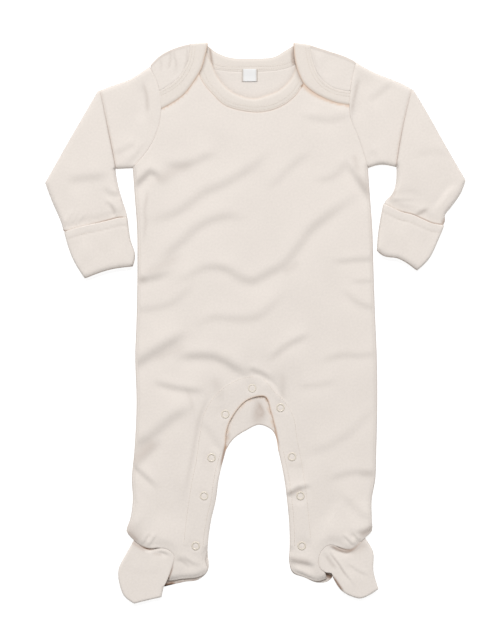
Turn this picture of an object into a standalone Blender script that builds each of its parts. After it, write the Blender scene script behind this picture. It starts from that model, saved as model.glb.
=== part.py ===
"""Footed baby sleepsuit with lap shoulders, laid flat on its back, face up.

The frame's origin lies under the middle of the garment, on the surface that it rests on.
+X runs across to the right sleeve, +Y up to the neck and +Z away from the surface, and the
names left and right are those of a look from above. Sizes and places are in millimetres
until a mesh is made.
"""

import math
from collections import namedtuple

import bmesh
import bpy
import numpy as np
from mathutils import Vector
from mathutils.geometry import delaunay_2d_cdt

MM = 0.001
SIDES = ("left", "right")
AWAY = {"left": -1, "right": 1}  # the way out from the middle, along X

# ---------------------------------------------------------------- cloth and layers
CLOTH = 1.2  # wall of a single layer of interlock knit
DOUBLE = 2.0  # wall of a doubled layer, as in the bands and cuffs
SEAM_GAP = 0.35  # how far each piece stops short of its seam line
LAYER_GAP = 0.4  # clear space between a panel and what lies on it

# heights over the surface, each for the middle of its layer
BACK_MID = CLOTH / 2  # the back lies on the surface
EDGE_MID = 2.3  # the front where it comes down to the side seams
HEEL_MID = 2.7  # the front where it comes down to the heels
FRONT_MID = 5.0  # the front away from its edges
HEM_MID = 3.2  # the front at the inner leg edges
CROTCH_MID = 4.0  # the front at the crotch arch
UNDER_FLAP_MID = 2.9  # the front below the shoulder flaps
FLAP_MID = 5.5  # the shoulder flaps
BAND_LOW_MID = DOUBLE / 2  # the neck band where it lies on the surface
FRONT_BAND_MID = 4.6  # the front neck band at the middle of the chest
FRONT_BAND_END_MID = 3.4  # the front neck band's ends, under the flaps
FLAP_BAND_MID = 5.9  # the band along the flaps
TURN_RADIUS = (FLAP_MID - BACK_MID) / 2  # bend of the cloth over a shoulder, at its middle
TUBE_EDGE_MID = 1.8  # the folded sides of a sleeve
SLEEVE_MID = 4.6  # a sleeve's upper layer
SLEEVE_IN_CUFF_LOW, SLEEVE_IN_CUFF_EDGE, SLEEVE_IN_CUFF_HIGH = 3.15, 4.0, 4.85
CUFF_LOW_MID = DOUBLE / 2
CUFF_TOP_MID = 7.0
FOOT_MID = 8.2  # the puffed foot upper
UNDER_LIP_MID = 4.4  # the foot upper below the leg's end
LIP_MID = 8.4  # the leg's end where it folds over the foot upper

# how far from an edge the cloth reaches its full height
ROLL_POWER = 2.4  # how sharply an edge bends down: 1 is a straight slope
SIDE_ROLL = 9.0  # from the side seams
HEM_ROLL = 14.0  # from the crotch and inner leg edges
CUFF_ROLL = 5.0
FOOT_ROLL = 12.0
TUBE_ROLL = 5.0  # a sleeve's lower layer, up to its folded sides
LIP_SWELL = 26.0  # how far up the leg its raised end reaches
LIP_AT_SIDE = 0.35  # share of that reach that the side seam's roll is moved out by
LIP_CLEAR, LIP_RAMP = 2.0, 9.0  # the foot upper stays low this far from the leg's end, then rises
FLAP_AHEAD, FLAP_RAMP = 6.0, 16.0  # the front goes down this far ahead of a flap's edge, over this length
BAND_TOP, BAND_RAMP = 272.0, 34.0  # the front band comes up below this place, over this length
CUFF_AHEAD, CUFF_RAMP = 5.0, 12.0  # the sleeve's layers close up this far above a cuff, over this length

# ---------------------------------------------------------------- outlines, left is -X
Section = namedtuple("Section", "y left right")
TORSO = (
    Section(167, -132, 122),
    Section(132, -129.5, 124.5),
    Section(105, -127.5, 126.5),
    Section(57, -127.5, 128),
    Section(-19, -130.5, 131),
    Section(-84, -129.5, 132.5),
    Section(-138, -131, 131),
)
Leg = namedtuple("Leg", "y left_outer left_inner right_inner right_outer")
LEGS = (
    Leg(-138, -131, -31.5, 24.5, 131),
    Leg(-170, -134, -39.5, 30.5, 130),
    Leg(-192, -132, -42.5, 34, 125.5),
    Leg(-213, -135, -47.5, 36, 126),
    Leg(-225, -139, -49.5, 36.7, 126.5),
    Leg(-246, None, -51.5, 36.7, None),
)

SHOULDERS_AT = {
    "left": ((-114, 276), (-102, 287.5), (-84, 296), (-70, 299.5)),
    "right": ((109, 280.5), (98, 286), (81, 291.5), (60, 297)),
}
ARMHOLES_AT = {
    "left": ((-114, 276), (-103, 250), (-102, 222), (-111, 194), (-132, 167)),
    "right": ((109, 280.5), (103, 250), (103, 222), (112, 199), (122, 167)),
}
FLAP_SEAMS_AT = {
    "left": ((-70, 299.5), (-73, 281), (-83, 264), (-103, 250)),
    "right": ((60, 297), (63, 281), (71, 266), (84, 256), (103, 250)),
}
FLAP_EDGES_AT = {
    "left": ((-51, 300.5), (-55, 284), (-62, 267), (-76, 248), (-101, 232)),
    "right": ((42, 299.5), (48, 276), (60, 255), (76, 242), (102, 232)),
}
BACK_NECK_SEAM = (
    (-70, 299.5), (-59, 285), (-46, 275), (-30, 272), (-2, 271.5), (25, 273), (40, 277), (52, 286), (60, 297),
)
BACK_NECK_EDGE = ((-51, 300.5), (-47, 294), (-35, 288), (-2, 286), (24, 288), (37, 293), (42, 299.5))
FRONT_NECK_SEAM = (
    (-65, 291), (-60, 268), (-45, 249), (-26, 234), (-1, 227), (24, 231), (42, 244), (53, 262), (57, 288),
)
FRONT_NECK_EDGE = (
    (-50, 291), (-44, 280), (-31, 263), (-13, 249), (3, 245.5), (20, 250), (34, 262), (41, 276), (41.5, 290),
)
SHOULDER_TUCK = 7.0  # how far below the shoulder line the front's shoulders end

# A sleeve's outer side has three stretches and its inner side two, from the body to the wrist.
SleeveEdges = namedtuple("SleeveEdges", "outer elbow lower under inner end crease")
SLEEVES = {
    "left": SleeveEdges(
        outer=((-114, 276), (-140, 260.5), (-168, 249.5)),
        elbow=((-168, 249.5), (-226.5, 151)),
        lower=((-226.5, 151), (-220, 132.5), (-211.5, 111), (-207.5, 100), (-201, 94.5), (-200, 90.5)),
        under=((-132, 167), (-151, 166)),
        inner=((-151, 166), (-148.5, 150), (-143.5, 132), (-139, 117), (-142, 110), (-142.5, 103)),
        end=((-200.5, 90.5), (-170, 100), (-142.5, 103)),
        crease=((-168, 249.5), (-158, 201), (-151, 166)),
    ),
    "right": SleeveEdges(
        outer=((109, 280.5), (129, 268.5), (170, 251)),
        elbow=((170, 251), (227.5, 154)),
        lower=((227.5, 154), (224, 143), (210, 123), (206, 115), (201, 107.5), (198, 99)),
        under=((122, 167), (135, 170.5), (153, 168)),
        inner=((153, 168), (152, 148), (142, 132), (143.5, 126), (144, 118)),
        end=((198, 99), (172, 106), (144, 118)),
        crease=((170, 251), (160, 209), (153, 168)),
    ),
}
CREASE_RISE, CREASE_RUN = 2.6, 3.0  # the lower sleeve lies this much higher past the crease
CREASE_AT_TOP = 0.35  # share of that rise at the crease's upper end
CREASE_FADE, CREASE_FADE_RUN = 0.6, 60.0  # share of the rise that is lost again towards the elbow

# A cuff's four sides, clockwise from its upper left corner.
CuffEdges = namedtuple("CuffEdges", "top right end left")
CUFFS = {
    "left": CuffEdges(
        top=((-207, 94.5), (-182, 105), (-149, 113), (-137.5, 111)),
        right=((-137.5, 111), (-134.5, 88), (-129.5, 70), (-132, 60.5)),
        end=((-132, 60.5), (-155, 57.5), (-184, 47.5)),
        left=((-184, 47.5), (-197, 67.5), (-207, 94.5)),
    ),
    "right": CuffEdges(
        top=((138.5, 128.5), (157, 119.5), (181, 113), (193, 107.5), (205.5, 107)),
        right=((205.5, 107), (198, 89), (187, 67.5), (175, 56)),
        end=((175, 56), (155, 69), (138, 72.5), (131.5, 78)),
        left=((131.5, 78), (132.5, 92), (138.5, 128.5)),
    ),
}

FRONT_CROTCH = ((-31.5, -138), (-30, -114), (-22, -97), (-6, -82), (11, -80), (17, -96), (24.5, -138))
BACK_CROTCH = ((-31.5, -138), (-23.5, -126), (-9.5, -116.5), (5, -110.5), (18, -116), (24.5, -138))

# The leg's end: its lip over the foot, the arch round the foot upper and the heel. The toe's
# stretches run from the ankle's outer side round the tip, and the sole goes on round the heel.
FootEdges = namedtuple("FootEdges", "lip arch heel toe sole_heel sole_seam")
FEET = {
    "left": FootEdges(
        lip=((-139, -225), (-127, -238), (-114, -244), (-106, -243)),
        arch=((-106, -243), (-94, -245), (-87, -252), (-87, -262), (-93, -277)),
        heel=((-93, -277), (-69, -276.5), (-58, -272), (-53.5, -262), (-51.5, -246)),
        toe=(
            ((-131, -235.5), (-140, -251), (-147.5, -267), (-146, -284), (-141.5, -295), (-130.5, -303.5)),
            ((-130.5, -303.5), (-116, -300), (-101, -296.5)),
            ((-101, -296.5), (-99, -286)),
        ),
        sole_heel=((-99, -286), (-77, -280.5), (-60, -277.5), (-52, -269), (-50.5, -255)),
        sole_seam=((-50.5, -255), (-90, -246), (-131, -235.5)),
    ),
    "right": FootEdges(
        lip=((126.5, -225), (115, -236), (103, -245), (90, -242)),
        arch=((90, -242), (79, -240), (71, -248), (69.5, -262), (74, -273)),
        heel=((74, -273), (66, -278), (53, -273), (41, -268), (37, -258), (36.7, -246)),
        toe=(
            ((119, -233), (127.5, -247), (128, -268), (133.5, -287.5)),
            ((133.5, -287.5), (124, -294), (114, -298), (103, -296), (93, -291), (84, -275)),
        ),
        sole_heel=((84, -275), (79, -280), (68, -281.5), (53, -275), (41, -271), (36.2, -255)),
        sole_seam=((36.2, -255), (80, -243), (119, -233)),
    ),
}
UPPER_GAP, SOLE_GAP = 0.3, 0.1  # how far the foot upper and the sole stop short of their outlines
LIP_GAP = 1.0  # how far the upper's hidden edge lies below the leg's end

# ---------------------------------------------------------------- folds of the cloth
# rise: height of a ridge, or minus the depth of a trough; spread: half its width
FOLD_END, FOLD_LEFT = 0.22, 0.25  # share of its length over which a fold dies away, and what is left
Fold = namedtuple("Fold", "rise spread path")
FRONT_FOLDS = (
    Fold(-2.4, 7, ((-131, 150), (-119, 154), (-108, 165))),
    Fold(+1.6, 9, ((-128, 136), (-112, 142), (-98, 152))),
    Fold(-1.4, 8, ((-102, 169), (-76, 173), (-50, 182))),
    Fold(-1.9, 9, ((-100, 114), (-57, 143), (-3, 172), (18, 195))),
    Fold(+1.9, 12, ((-104, 132), (-62, 160), (-12, 188))),
    Fold(-2.1, 9, ((-96, 56), (-90, 79), (-62, 105), (-14, 114))),
    Fold(+2.0, 12, ((-112, 76), (-84, 110), (-50, 126), (-4, 134))),
    Fold(-2.4, 6, ((-127, 49), (-108, 51), (-90, 57))),
    Fold(+1.9, 9, ((-126, 62), (-106, 66))),
    Fold(-2.2, 9, ((-71, 29), (-60, 60), (-28, 61), (-3, 46), (22, 59), (42, 70), (67, 110), (106, 137))),
    Fold(+2.2, 12, ((-78, 50), (-56, 80), (-26, 80), (0, 66), (20, 78), (46, 112), (92, 146))),
    Fold(-1.2, 8, ((62, 155), (83, 156), (108, 185))),
    Fold(-2.0, 6, ((104, 168), (116, 150), (124, 138))),
    Fold(+1.4, 8, ((92, 164), (106, 146), (116, 128))),
    Fold(-1.2, 8, ((21, 155), (40, 176), (59, 187))),
    Fold(-1.3, 8, ((-123, 16), (-79, 25), (-65, 42))),
    Fold(-1.7, 8, ((-60, 4), (-26, 7), (-2, 5), (32, 30))),
    Fold(+1.6, 10, ((-62, 18), (-26, 22), (2, 20))),
    Fold(-2.4, 9, ((-128, -43), (-105, -29), (-75, -12))),
    Fold(+2.4, 12, ((-126, -22), (-98, -8), (-68, 6))),
    Fold(-2.5, 8, ((-80, -32), (-44, -35), (-23, -45), (-6, -60))),
    Fold(+2.4, 10, ((-78, -16), (-42, -18), (-14, -30), (2, -44))),
    Fold(-1.5, 6, ((-2, -51), (14, -57), (22, -66))),
    Fold(-1.6, 7, ((21, -35), (38, -22), (58, -10))),
    Fold(+1.6, 9, ((24, -18), (44, -6))),
    Fold(-1.4, 8, ((-109, -63), (-95, -69), (-66, -73))),
    Fold(-2.5, 10, ((-127, -150), (-109, -131), (-91, -110), (-75, -92))),
    Fold(+2.2, 12, ((-124, -118), (-104, -102), (-84, -84))),
    Fold(-1.3, 7, ((-54, -68), (-58, -96), (-60, -120))),
    Fold(-1.2, 8, ((53, -150), (77, -131), (107, -113), (127, -96))),
    Fold(+1.2, 10, ((56, -128), (96, -100))),
    Fold(-1.3, 8, ((80, -161), (126, -160))),
    Fold(-1.8, 5, ((37, -184), (58, -176))),
    Fold(+1.4, 8, ((-96, -190), (-88, -222))),
    Fold(+1.4, 8, ((84, -190), (84, -222))),
)
SLEEVE_FOLDS = (
    Fold(-1.4, 7, ((-118, 252), (-117, 222))),
    Fold(-1.3, 6, ((-149, 184), (-128, 192))),
    Fold(-1.3, 5, ((-138, 171), (-124, 184))),
    Fold(-1.2, 9, ((-200, 158), (-172, 162))),
    Fold(-1.2, 6, ((-163, 143), (-148, 136))),
    Fold(+1.2, 6, ((-196, 118), (-172, 126), (-150, 132))),
    Fold(-1.4, 7, ((111, 262), (107, 234))),
    Fold(-1.2, 7, ((127, 242), (144, 256))),
    Fold(-1.2, 7, ((126, 196), (146, 186))),
    Fold(-1.3, 7, ((176, 118), (196, 130))),
    Fold(+1.3, 8, ((190, 140), (214, 152))),
)
FOOT_FOLDS = (
    Fold(-2.0, 7, ((-84, -251), (-64, -260))),
    Fold(+1.0, 9, ((-126, -262), (-106, -276))),
    Fold(-2.0, 7, ((78, -250), (91, -262), (98, -278))),
    Fold(+1.2, 7, ((92, -252), (108, -272))),
    Fold(-2.2, 6, ((38, -257), (50, -255), (60, -261))),
)

# ---------------------------------------------------------------- trims
Snap = namedtuple("Snap", "name x y")
SNAPS = (
    Snap("snap_crotch", -3, -71),
    Snap("snap_left_1", -32, -99),
    Snap("snap_left_2", -47, -146),
    Snap("snap_left_3", -55, -187),
    Snap("snap_left_4", -64, -241),
    Snap("snap_right_1", 27.5, -92),
    Snap("snap_right_2", 40, -145),
    Snap("snap_right_3", 49, -187),
    Snap("snap_right_4", 50.5, -241),
)
SNAP_OUTER, SNAP_INNER, SNAP_THICK = 9.4, 5.2, 1.1  # a ring snap's ring, diameters and height
SNAP_FLAT = 8.0  # cloth lies even this far round a snap
SNAP_ROUND, SNAP_ROUND_SIDES = 5.6, 6  # radius and count of the cloth's points round a snap
SNAP_SIDES = 16
SNAP_PROFILE_SIDES = 5
LABEL_LEFT, LABEL_RIGHT, LABEL_TOP, LABEL_BOTTOM = -14.0, 2.5, 274.0, 261.0
LABEL_WALL = 1.0
LABEL_LIFT = 0.2  # how much higher its lower end lies
LABEL_ROWS = 5

# ---------------------------------------------------------------- how finely meshes are cut
STEP_FRONT, STEP_BACK, STEP_TUBE, STEP_FOOT, STEP_SEAM = 11.5, 26.0, 11.5, 9.0, 6.0
STEP_HEM = 0.6 * STEP_FRONT  # along the front's tighter curves
STEP_FOLD = 6.0  # along a fold's path
GRID_CLEAR = 0.6  # share of a step that inner points stay away from given ones
ROWS_ROLLED = (1.6, 5.0)  # rows of points this far in from an edge that rolls down
ROWS_CUFF = (1.8, 4.5)
TURN_STEPS = 4  # facets of the fold over a shoulder
BAND_ACROSS = 5  # points across a neck band
FRONT_BAND_ROWS, BACK_BAND_ROWS, FLAP_BAND_ROWS = 24, 20, 11

CREAM = (0.83, 0.755, 0.70, 1.0)
INNER_CREAM = (0.80, 0.72, 0.665, 1.0)
WHITE = (0.86, 0.86, 0.85, 1.0)
SAND = (0.72, 0.65, 0.54, 1.0)


# ---------------------------------------------------------------- plane geometry
def smooth(points, step):
    """Points about `step` apart on the smooth curve that runs through the given ones."""
    given = np.array(points, float)
    if len(given) == 2:
        count = max(1, round(float(np.linalg.norm(given[1] - given[0])) / step))
        return given[0] + (given[1] - given[0]) * np.linspace(0, 1, count + 1)[:, None]
    spans = np.linalg.norm(np.diff(given, axis=0), axis=1)
    slopes = np.diff(given, axis=0) / spans[:, None]
    weight = spans[:-1, None] / (spans[:-1] + spans[1:])[:, None]
    middle = slopes[:-1] * (1 - weight) + slopes[1:] * weight
    ends = (1.5 * slopes[0] - 0.5 * middle[0], 1.5 * slopes[-1] - 0.5 * middle[-1])
    tangents = np.vstack([ends[0], middle, ends[1]])
    parts = []
    for i, span in enumerate(spans):
        count = max(1, round(float(span) / step))
        t = np.linspace(0, 1, count + 1)[: count + (i == len(spans) - 1), None]
        parts.append(
            (2 * t**3 - 3 * t**2 + 1) * given[i]
            + (t**3 - 2 * t**2 + t) * span * tangents[i]
            + (3 * t**2 - 2 * t**3) * given[i + 1]
            + (t**3 - t**2) * span * tangents[i + 1]
        )
    return np.vstack(parts)


def joined(*runs):
    """One closed loop, counter-clockwise, from runs that meet end to end."""
    loop = np.vstack([run[:-1] for run in runs])
    area = np.sum(loop[:, 0] * np.roll(loop[:, 1], -1) - loop[:, 1] * np.roll(loop[:, 0], -1))
    return loop if area > 0 else loop[::-1]


def distance(points, path):
    """How far each point is from a path, how far along it (0 to 1) and on which side (+1 is left)."""
    points, path = np.asarray(points, float), np.asarray(path, float)
    starts, legs = path[:-1], np.diff(path, axis=0)
    lengths = np.linalg.norm(legs, axis=1)
    offset = points[:, None, :] - starts[None]
    share = np.clip(np.sum(offset * legs, axis=2) / lengths**2, 0, 1)
    apart = offset - share[..., None] * legs
    far = np.linalg.norm(apart, axis=2)
    nearest = np.argmin(far, axis=1)
    rows = np.arange(len(points))
    before = np.concatenate([[0], np.cumsum(lengths)])
    along = (before[nearest] + share[rows, nearest] * lengths[nearest]) / before[-1]
    leg, off = legs[nearest], offset[rows, nearest]
    side = np.sign(leg[:, 0] * off[:, 1] - leg[:, 1] * off[:, 0])
    return far[rows, nearest], along, side


def inside(points, loop):
    """Which points lie inside a closed loop."""
    x, y = points[:, 0, None], points[:, 1, None]
    ax, ay = loop[:, 0], loop[:, 1]
    bx, by = np.roll(ax, -1), np.roll(ay, -1)
    crosses = (ay > y) != (by > y)
    where = ax + (y - ay) * (bx - ax) / np.where(by == ay, 1e-9, by - ay)
    return np.sum(crosses & (x < where), axis=1) % 2 == 1


def closed(loop):
    return np.vstack([loop, loop[:1]])


def inset(loop, depth):
    """The loop's points moved in by depth, without those that would come nearer than that to it."""
    leg = np.roll(loop, -1, axis=0) - np.roll(loop, 1, axis=0)
    inward = np.stack([-leg[:, 1], leg[:, 0]], axis=1) / np.linalg.norm(leg, axis=1)[:, None]
    moved = loop + inward * depth
    far, _, _ = distance(moved, closed(loop))
    return moved[(far > 0.9 * depth) & inside(moved, loop)]


def shrunk(loop, depth):
    """A closed loop with all its points moved in by a small depth, round its corners too."""
    before, after = loop - np.roll(loop, 1, axis=0), np.roll(loop, -1, axis=0) - loop
    normals = []
    for leg in (before, after):
        length = np.linalg.norm(leg, axis=1)[:, None]
        normals.append(np.stack([-leg[:, 1], leg[:, 0]], axis=1) / length)
    middle = normals[0] + normals[1]
    middle /= np.maximum(np.linalg.norm(middle, axis=1)[:, None], 1e-6)
    lean = np.clip(np.sum(middle * normals[0], axis=1), 0.5, 1)
    return loop + middle * (depth / lean)[:, None]


def ease(t):
    t = np.clip(t, 0, 1)
    return t * t * (3 - 2 * t)


def rolled(far, low, high, reach):
    """Height of cloth that bends down from high to low at its edge, over the last `reach`."""
    t = np.clip(far / reach, 0, 1)
    return low + (high - low) * (1 - (1 - t) ** ROLL_POWER)


def folded(points, folds):
    """The sum of all ridges and troughs, each dying away across and at its ends."""
    total = np.zeros(len(points))
    for fold in folds:
        far, along, _ = distance(points, smooth(fold.path, STEP_FOLD))
        fade = ease(np.minimum(along, 1 - along) / FOLD_END)
        ends = FOLD_LEFT + (1 - FOLD_LEFT) * fade
        total += fold.rise * ends * np.exp(-((far / fold.spread) ** 2))
    return total


# ---------------------------------------------------------------- outlines as curves
def edge(points, step=STEP_FRONT):
    return smooth(points, step)


def torso_side(side):
    """The side seam from underarm to ankle, left or right."""
    rows = [(getattr(row, side), row.y) for row in TORSO]
    outer = [(getattr(row, side + "_outer"), row.y) for row in LEGS[1:]]
    return rows + [place for place in outer if place[0] is not None]


def inner_leg(side):
    return [(getattr(row, side + "_inner"), row.y) for row in LEGS]


def close_ended(run):
    """A run with more points near its ends, where it meets sides that roll down."""
    lengths = np.concatenate([[0], np.cumsum(np.linalg.norm(np.diff(run, axis=0), axis=1))])
    depths = np.array(ROWS_ROLLED)
    at = np.unique(np.concatenate([lengths, depths, lengths[-1] - depths]))
    return np.column_stack([np.interp(at, lengths, run[:, k]) for k in (0, 1)])


def tucked(points):
    """A run whose first point moves in from the outside of a shoulder fold to where its bend starts."""
    return [(points[0][0], points[0][1] - TURN_RADIUS)] + list(points[1:])


def tucked_twice(points):
    """A run from one shoulder fold to the other, tucked at both."""
    return tucked(tucked(points)[::-1])[::-1]


SIDE_SEAMS = {side: edge(torso_side(side)) for side in SIDES}
SHOULDERS = {side: edge(SHOULDERS_AT[side]) for side in SIDES}
ARMHOLES = {side: close_ended(edge(ARMHOLES_AT[side])) for side in SIDES}
FLAP_SEAMS = {side: edge(tucked(FLAP_SEAMS_AT[side]), STEP_SEAM) for side in SIDES}
NECK_SEAM_BACK = edge(tucked_twice(BACK_NECK_SEAM), STEP_SEAM)
NECK_SEAM_FRONT = edge(FRONT_NECK_SEAM, STEP_SEAM)


# ---------------------------------------------------------------- heights of the layers
def front_height(points):
    """Middle of the front panel: down at its sides, low under the flaps, raised at the ankles."""
    from_side = np.minimum(*(distance(points, SIDE_SEAMS[side])[0] for side in SIDES))
    height = rolled(from_side, EDGE_MID, FRONT_MID, SIDE_ROLL)
    for hem, low in ((inner_leg("left"), HEM_MID), (inner_leg("right"), HEM_MID), (FRONT_CROTCH, CROTCH_MID)):
        far, _, _ = distance(points, edge(hem))
        height = np.minimum(height, rolled(far, low, FRONT_MID, HEM_ROLL))
    height = height + folded(points, FRONT_FOLDS) * ease(from_side / SIDE_ROLL)
    height = height + folded(points, SLEEVE_FOLDS)
    for side in SIDES:
        far, _, _ = distance(points, edge(FEET[side].lip))
        swell = (1 - ease(far / LIP_SWELL)) * ease(from_side / SIDE_ROLL + LIP_AT_SIDE)
        height = height + (LIP_MID - FRONT_MID) * swell
        far, _, _ = distance(points, edge(FEET[side].heel))
        height = height + (HEEL_MID - height) * (1 - ease(far / SIDE_ROLL))
    height = height + folded(points, FOOT_FOLDS)
    for side in SIDES:
        far, _, left_of = distance(points, edge(FLAP_EDGES_AT[side]))
        beneath = far * left_of * AWAY[side]
        height = height + (UNDER_FLAP_MID - height) * (1 - ease((FLAP_AHEAD - beneath) / FLAP_RAMP))
    return np.maximum(height, EDGE_MID)


def level_near_snaps(points, height_at):
    """A layer's height, made even round each snap so that the snap lies on cloth."""
    height = height_at(points)
    for snap in SNAPS:
        centre = np.array([[snap.x, snap.y]], float)
        far = np.linalg.norm(points - centre, axis=1)
        hold = 1 - ease((far - SNAP_FLAT) / SNAP_FLAT)
        height = height + (height_at(centre)[0] - height) * hold
    return height


def front_surface(points):
    return level_near_snaps(points, front_height)


def front_band_height(points):
    """The front neck band, level with the front at its seam and low under the flaps."""
    rise = ease((BAND_TOP - points[:, 1]) / BAND_RAMP)
    return FRONT_BAND_END_MID + (FRONT_BAND_MID - FRONT_BAND_END_MID) * rise


def flat(height):
    return lambda points: np.full(len(points), float(height))


# ---------------------------------------------------------------- meshes
def fill(loop, step, rows=(), marks=()):
    """Points and triangles over the area inside a loop, and each loop point's place in them."""
    marks = [np.array(mark, float) for mark in marks if len(mark)]
    fixed = np.vstack([loop] + [inset(loop, depth) for depth in rows] + marks)
    low, high = loop.min(axis=0), loop.max(axis=0)
    across = step * math.sqrt(3) / 2
    columns = np.arange(low[0] + step / 2, high[0], step)
    lines = np.arange(low[1] + across / 2, high[1], across)
    grid = np.array([(x + step / 2 * (j % 2), y) for j, y in enumerate(lines) for x in columns])
    far, _, _ = distance(grid, closed(loop))
    margin = max(rows, default=0) + GRID_CLEAR * step
    grid = grid[(far > margin) & inside(grid, loop)]
    for mark in marks:
        gaps = np.linalg.norm(grid[:, None] - mark[None], axis=2)
        grid = grid[gaps.min(axis=1) > GRID_CLEAR * step]
    points = [Vector(point) for point in np.vstack([fixed, grid])]
    rim = [(i, (i + 1) % len(loop)) for i in range(len(loop))]
    made, _, faces, origins, _, _ = delaunay_2d_cdt(points, rim, [], 1, 1e-5)
    place = {source: index for index, sources in enumerate(origins) for source in sources}
    plan = np.array([tuple(point) for point in made])
    return plan, [tuple(face) for face in faces], [place[i] for i in range(len(loop))]


def material(name, colour, roughness=0.9, metallic=0.0):
    made = bpy.data.materials.get(name) or bpy.data.materials.new(name)
    made.use_nodes = True
    shader = made.node_tree.nodes["Principled BSDF"]
    shader.inputs["Base Color"].default_value = colour
    shader.inputs["Roughness"].default_value = roughness
    shader.inputs["Metallic"].default_value = metallic
    made.diffuse_color = colour
    return made


def add_object(name, points, faces, finish, wall=None):
    """A mesh object from points in millimetres; a wall turns its sheet into a closed solid."""
    mesh = bpy.data.meshes.new(name)
    mesh.from_pydata([tuple(float(c) * MM for c in p) for p in points], [], [tuple(f) for f in faces])
    mesh.validate()
    mesh.materials.append(finish)
    mesh.shade_smooth()
    obj = bpy.data.objects.new(name, mesh)
    bpy.context.scene.collection.objects.link(obj)
    if wall:
        solid = obj.modifiers.new("Cloth thickness", "SOLIDIFY")
        solid.thickness = wall * MM
        solid.offset = 0.0
        solid.use_quality_normals = True
    return obj


def sheet(name, loop, height, finish, wall=CLOTH, step=STEP_FRONT, rows=(), marks=()):
    """One layer of cloth over an outline, its middle at height(points)."""
    plan, faces, _ = fill(loop, step, rows, marks)
    return add_object(name, np.column_stack([plan, height(plan)]), faces, finish, wall)


def tube(name, loop, shared, low, high, finish, wall=CLOTH, step=STEP_TUBE, rows=ROWS_ROLLED, marks=()):
    """A flattened tube: two layers over one outline, joined along the loop points in `shared`."""
    plan, faces, places = fill(loop, step, rows, marks)
    joint = {places[i] for i in shared}
    lower, upper = low(plan), high(plan)
    middle = (lower + upper) / 2
    points = np.column_stack([plan, [middle[i] if i in joint else upper[i] for i in range(len(plan))]])
    twins = {i: len(plan) + n for n, i in enumerate(i for i in range(len(plan)) if i not in joint)}
    below = np.array([(plan[i][0], plan[i][1], lower[i]) for i in twins])
    under = [tuple(twins.get(i, i) for i in reversed(face)) for face in faces]
    return add_object(name, np.vstack([points, below]), list(faces) + under, finish, wall)


def ribbon(name, rows, finish, wall):
    """A strip from rows of points, each row running across it."""
    across = len(rows[0])
    points = np.vstack(rows)
    faces = []
    for i in range(len(rows) - 1):
        for j in range(across - 1):
            a = i * across + j
            faces.append((a, a + 1, a + across + 1, a + across))
    return add_object(name, points, faces, finish, wall)


def rungs(first, second, count, height, trim=0.0):
    """Rows of points across the strip between two curves, `count` of them, clear of the first curve."""
    rows = []
    for a, b in zip(evenly(first, count, trim), evenly(second, count, trim)):
        start = SEAM_GAP / np.linalg.norm(b - a)
        share = np.linspace(start, 1, BAND_ACROSS)[:, None]
        plan = a + (b - a) * share
        rows.append(np.column_stack([plan, height(plan)]))
    return rows


def evenly(points, count, trim=0.0):
    """`count` evenly spaced points along the smooth curve through some, less `trim` at its end."""
    fine = smooth(points, 1.0)
    lengths = np.concatenate([[0], np.cumsum(np.linalg.norm(np.diff(fine, axis=0), axis=1))])
    at = np.linspace(0, lengths[-1] - trim, count)
    return np.column_stack([np.interp(at, lengths, fine[:, k]) for k in (0, 1)])


def turned(row, centre):
    """Rows that carry a row of the top layer over a fold, down to the layer below."""
    rows = []
    for k in range(1, TURN_STEPS):
        angle = math.pi / 2 - math.pi * k / TURN_STEPS
        moved = row.copy()
        moved[:, 1] = row[:, 1] + TURN_RADIUS * math.cos(angle)
        moved[:, 2] = centre + TURN_RADIUS * math.sin(angle)
        rows.append(moved)
    return rows


# ---------------------------------------------------------------- pieces
def make_back_panel(cream):
    """Back, back legs and both shoulder flaps in one piece, turned over the shoulder lines."""
    centre = (FLAP_MID + BACK_MID) / 2
    folds = {side: shoulder_fold(side) for side in SIDES}
    neck = NECK_SEAM_BACK.copy()
    neck[0], neck[-1] = folds["left"][-1], folds["right"][-1]
    armholes = {side: below_point(ARMHOLES[side], folds[side][0]) for side in SIDES}
    seams = {side: FEET[side].sole_seam for side in SIDES}
    loop = joined(
        folds["left"],
        neck,
        folds["right"][::-1],
        armholes["right"],
        smooth(torso_side("right") + [seams["right"][-1]], STEP_BACK),
        smooth(seams["right"][::-1], STEP_BACK),
        smooth([seams["right"][0]] + inner_leg("right")[::-1], STEP_BACK),
        smooth(BACK_CROTCH[::-1], STEP_TUBE),
        smooth(inner_leg("left") + [seams["left"][0]], STEP_BACK),
        smooth(seams["left"], STEP_BACK),
        smooth([seams["left"][-1]] + torso_side("left")[::-1], STEP_BACK),
        armholes["left"][::-1],
    )
    plan, faces, _ = fill(shrunk(loop, SEAM_GAP), STEP_BACK)
    points = [raised(plan, BACK_MID)]
    count = len(plan)
    for side in SIDES:
        fold = folds[side]
        seam = FLAP_SEAMS[side].copy()
        seam[0] = fold[-1]
        arm = below_point(ARMHOLES[side], fold[0])
        arm = arm[: nearest(arm, seam[-1]) + 1]
        flap = shrunk(joined(fold, seam, arm[::-1]), SEAM_GAP)
        flap_plan, flap_faces, _ = fill(flap, STEP_TUBE)
        points.append(raised(flap_plan, FLAP_MID))
        faces += [tuple(i + count for i in face) for face in flap_faces]
        top = [nearest(flap_plan, p) for p in fold]
        previous = [count + i for i in top]
        count += len(flap_plan)
        for row in turned(raised(flap_plan[top], FLAP_MID), centre):
            points.append(row)
            current = list(range(count, count + len(row)))
            count += len(row)
            faces += bridge(previous, current)
            previous = current
        faces += bridge(previous, [nearest(plan, p) for p in fold])
    obj = add_object("back_panel", np.vstack(points), faces, cream, CLOTH)
    face_out(obj)
    return obj


def shoulder_fold(side):
    """Where the layers below and above start to bend over the shoulder, left or right."""
    line = SHOULDERS[side] - (0, TURN_RADIUS)
    line[0] = across_at(ARMHOLES[side], line[0][1])
    return line


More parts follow.
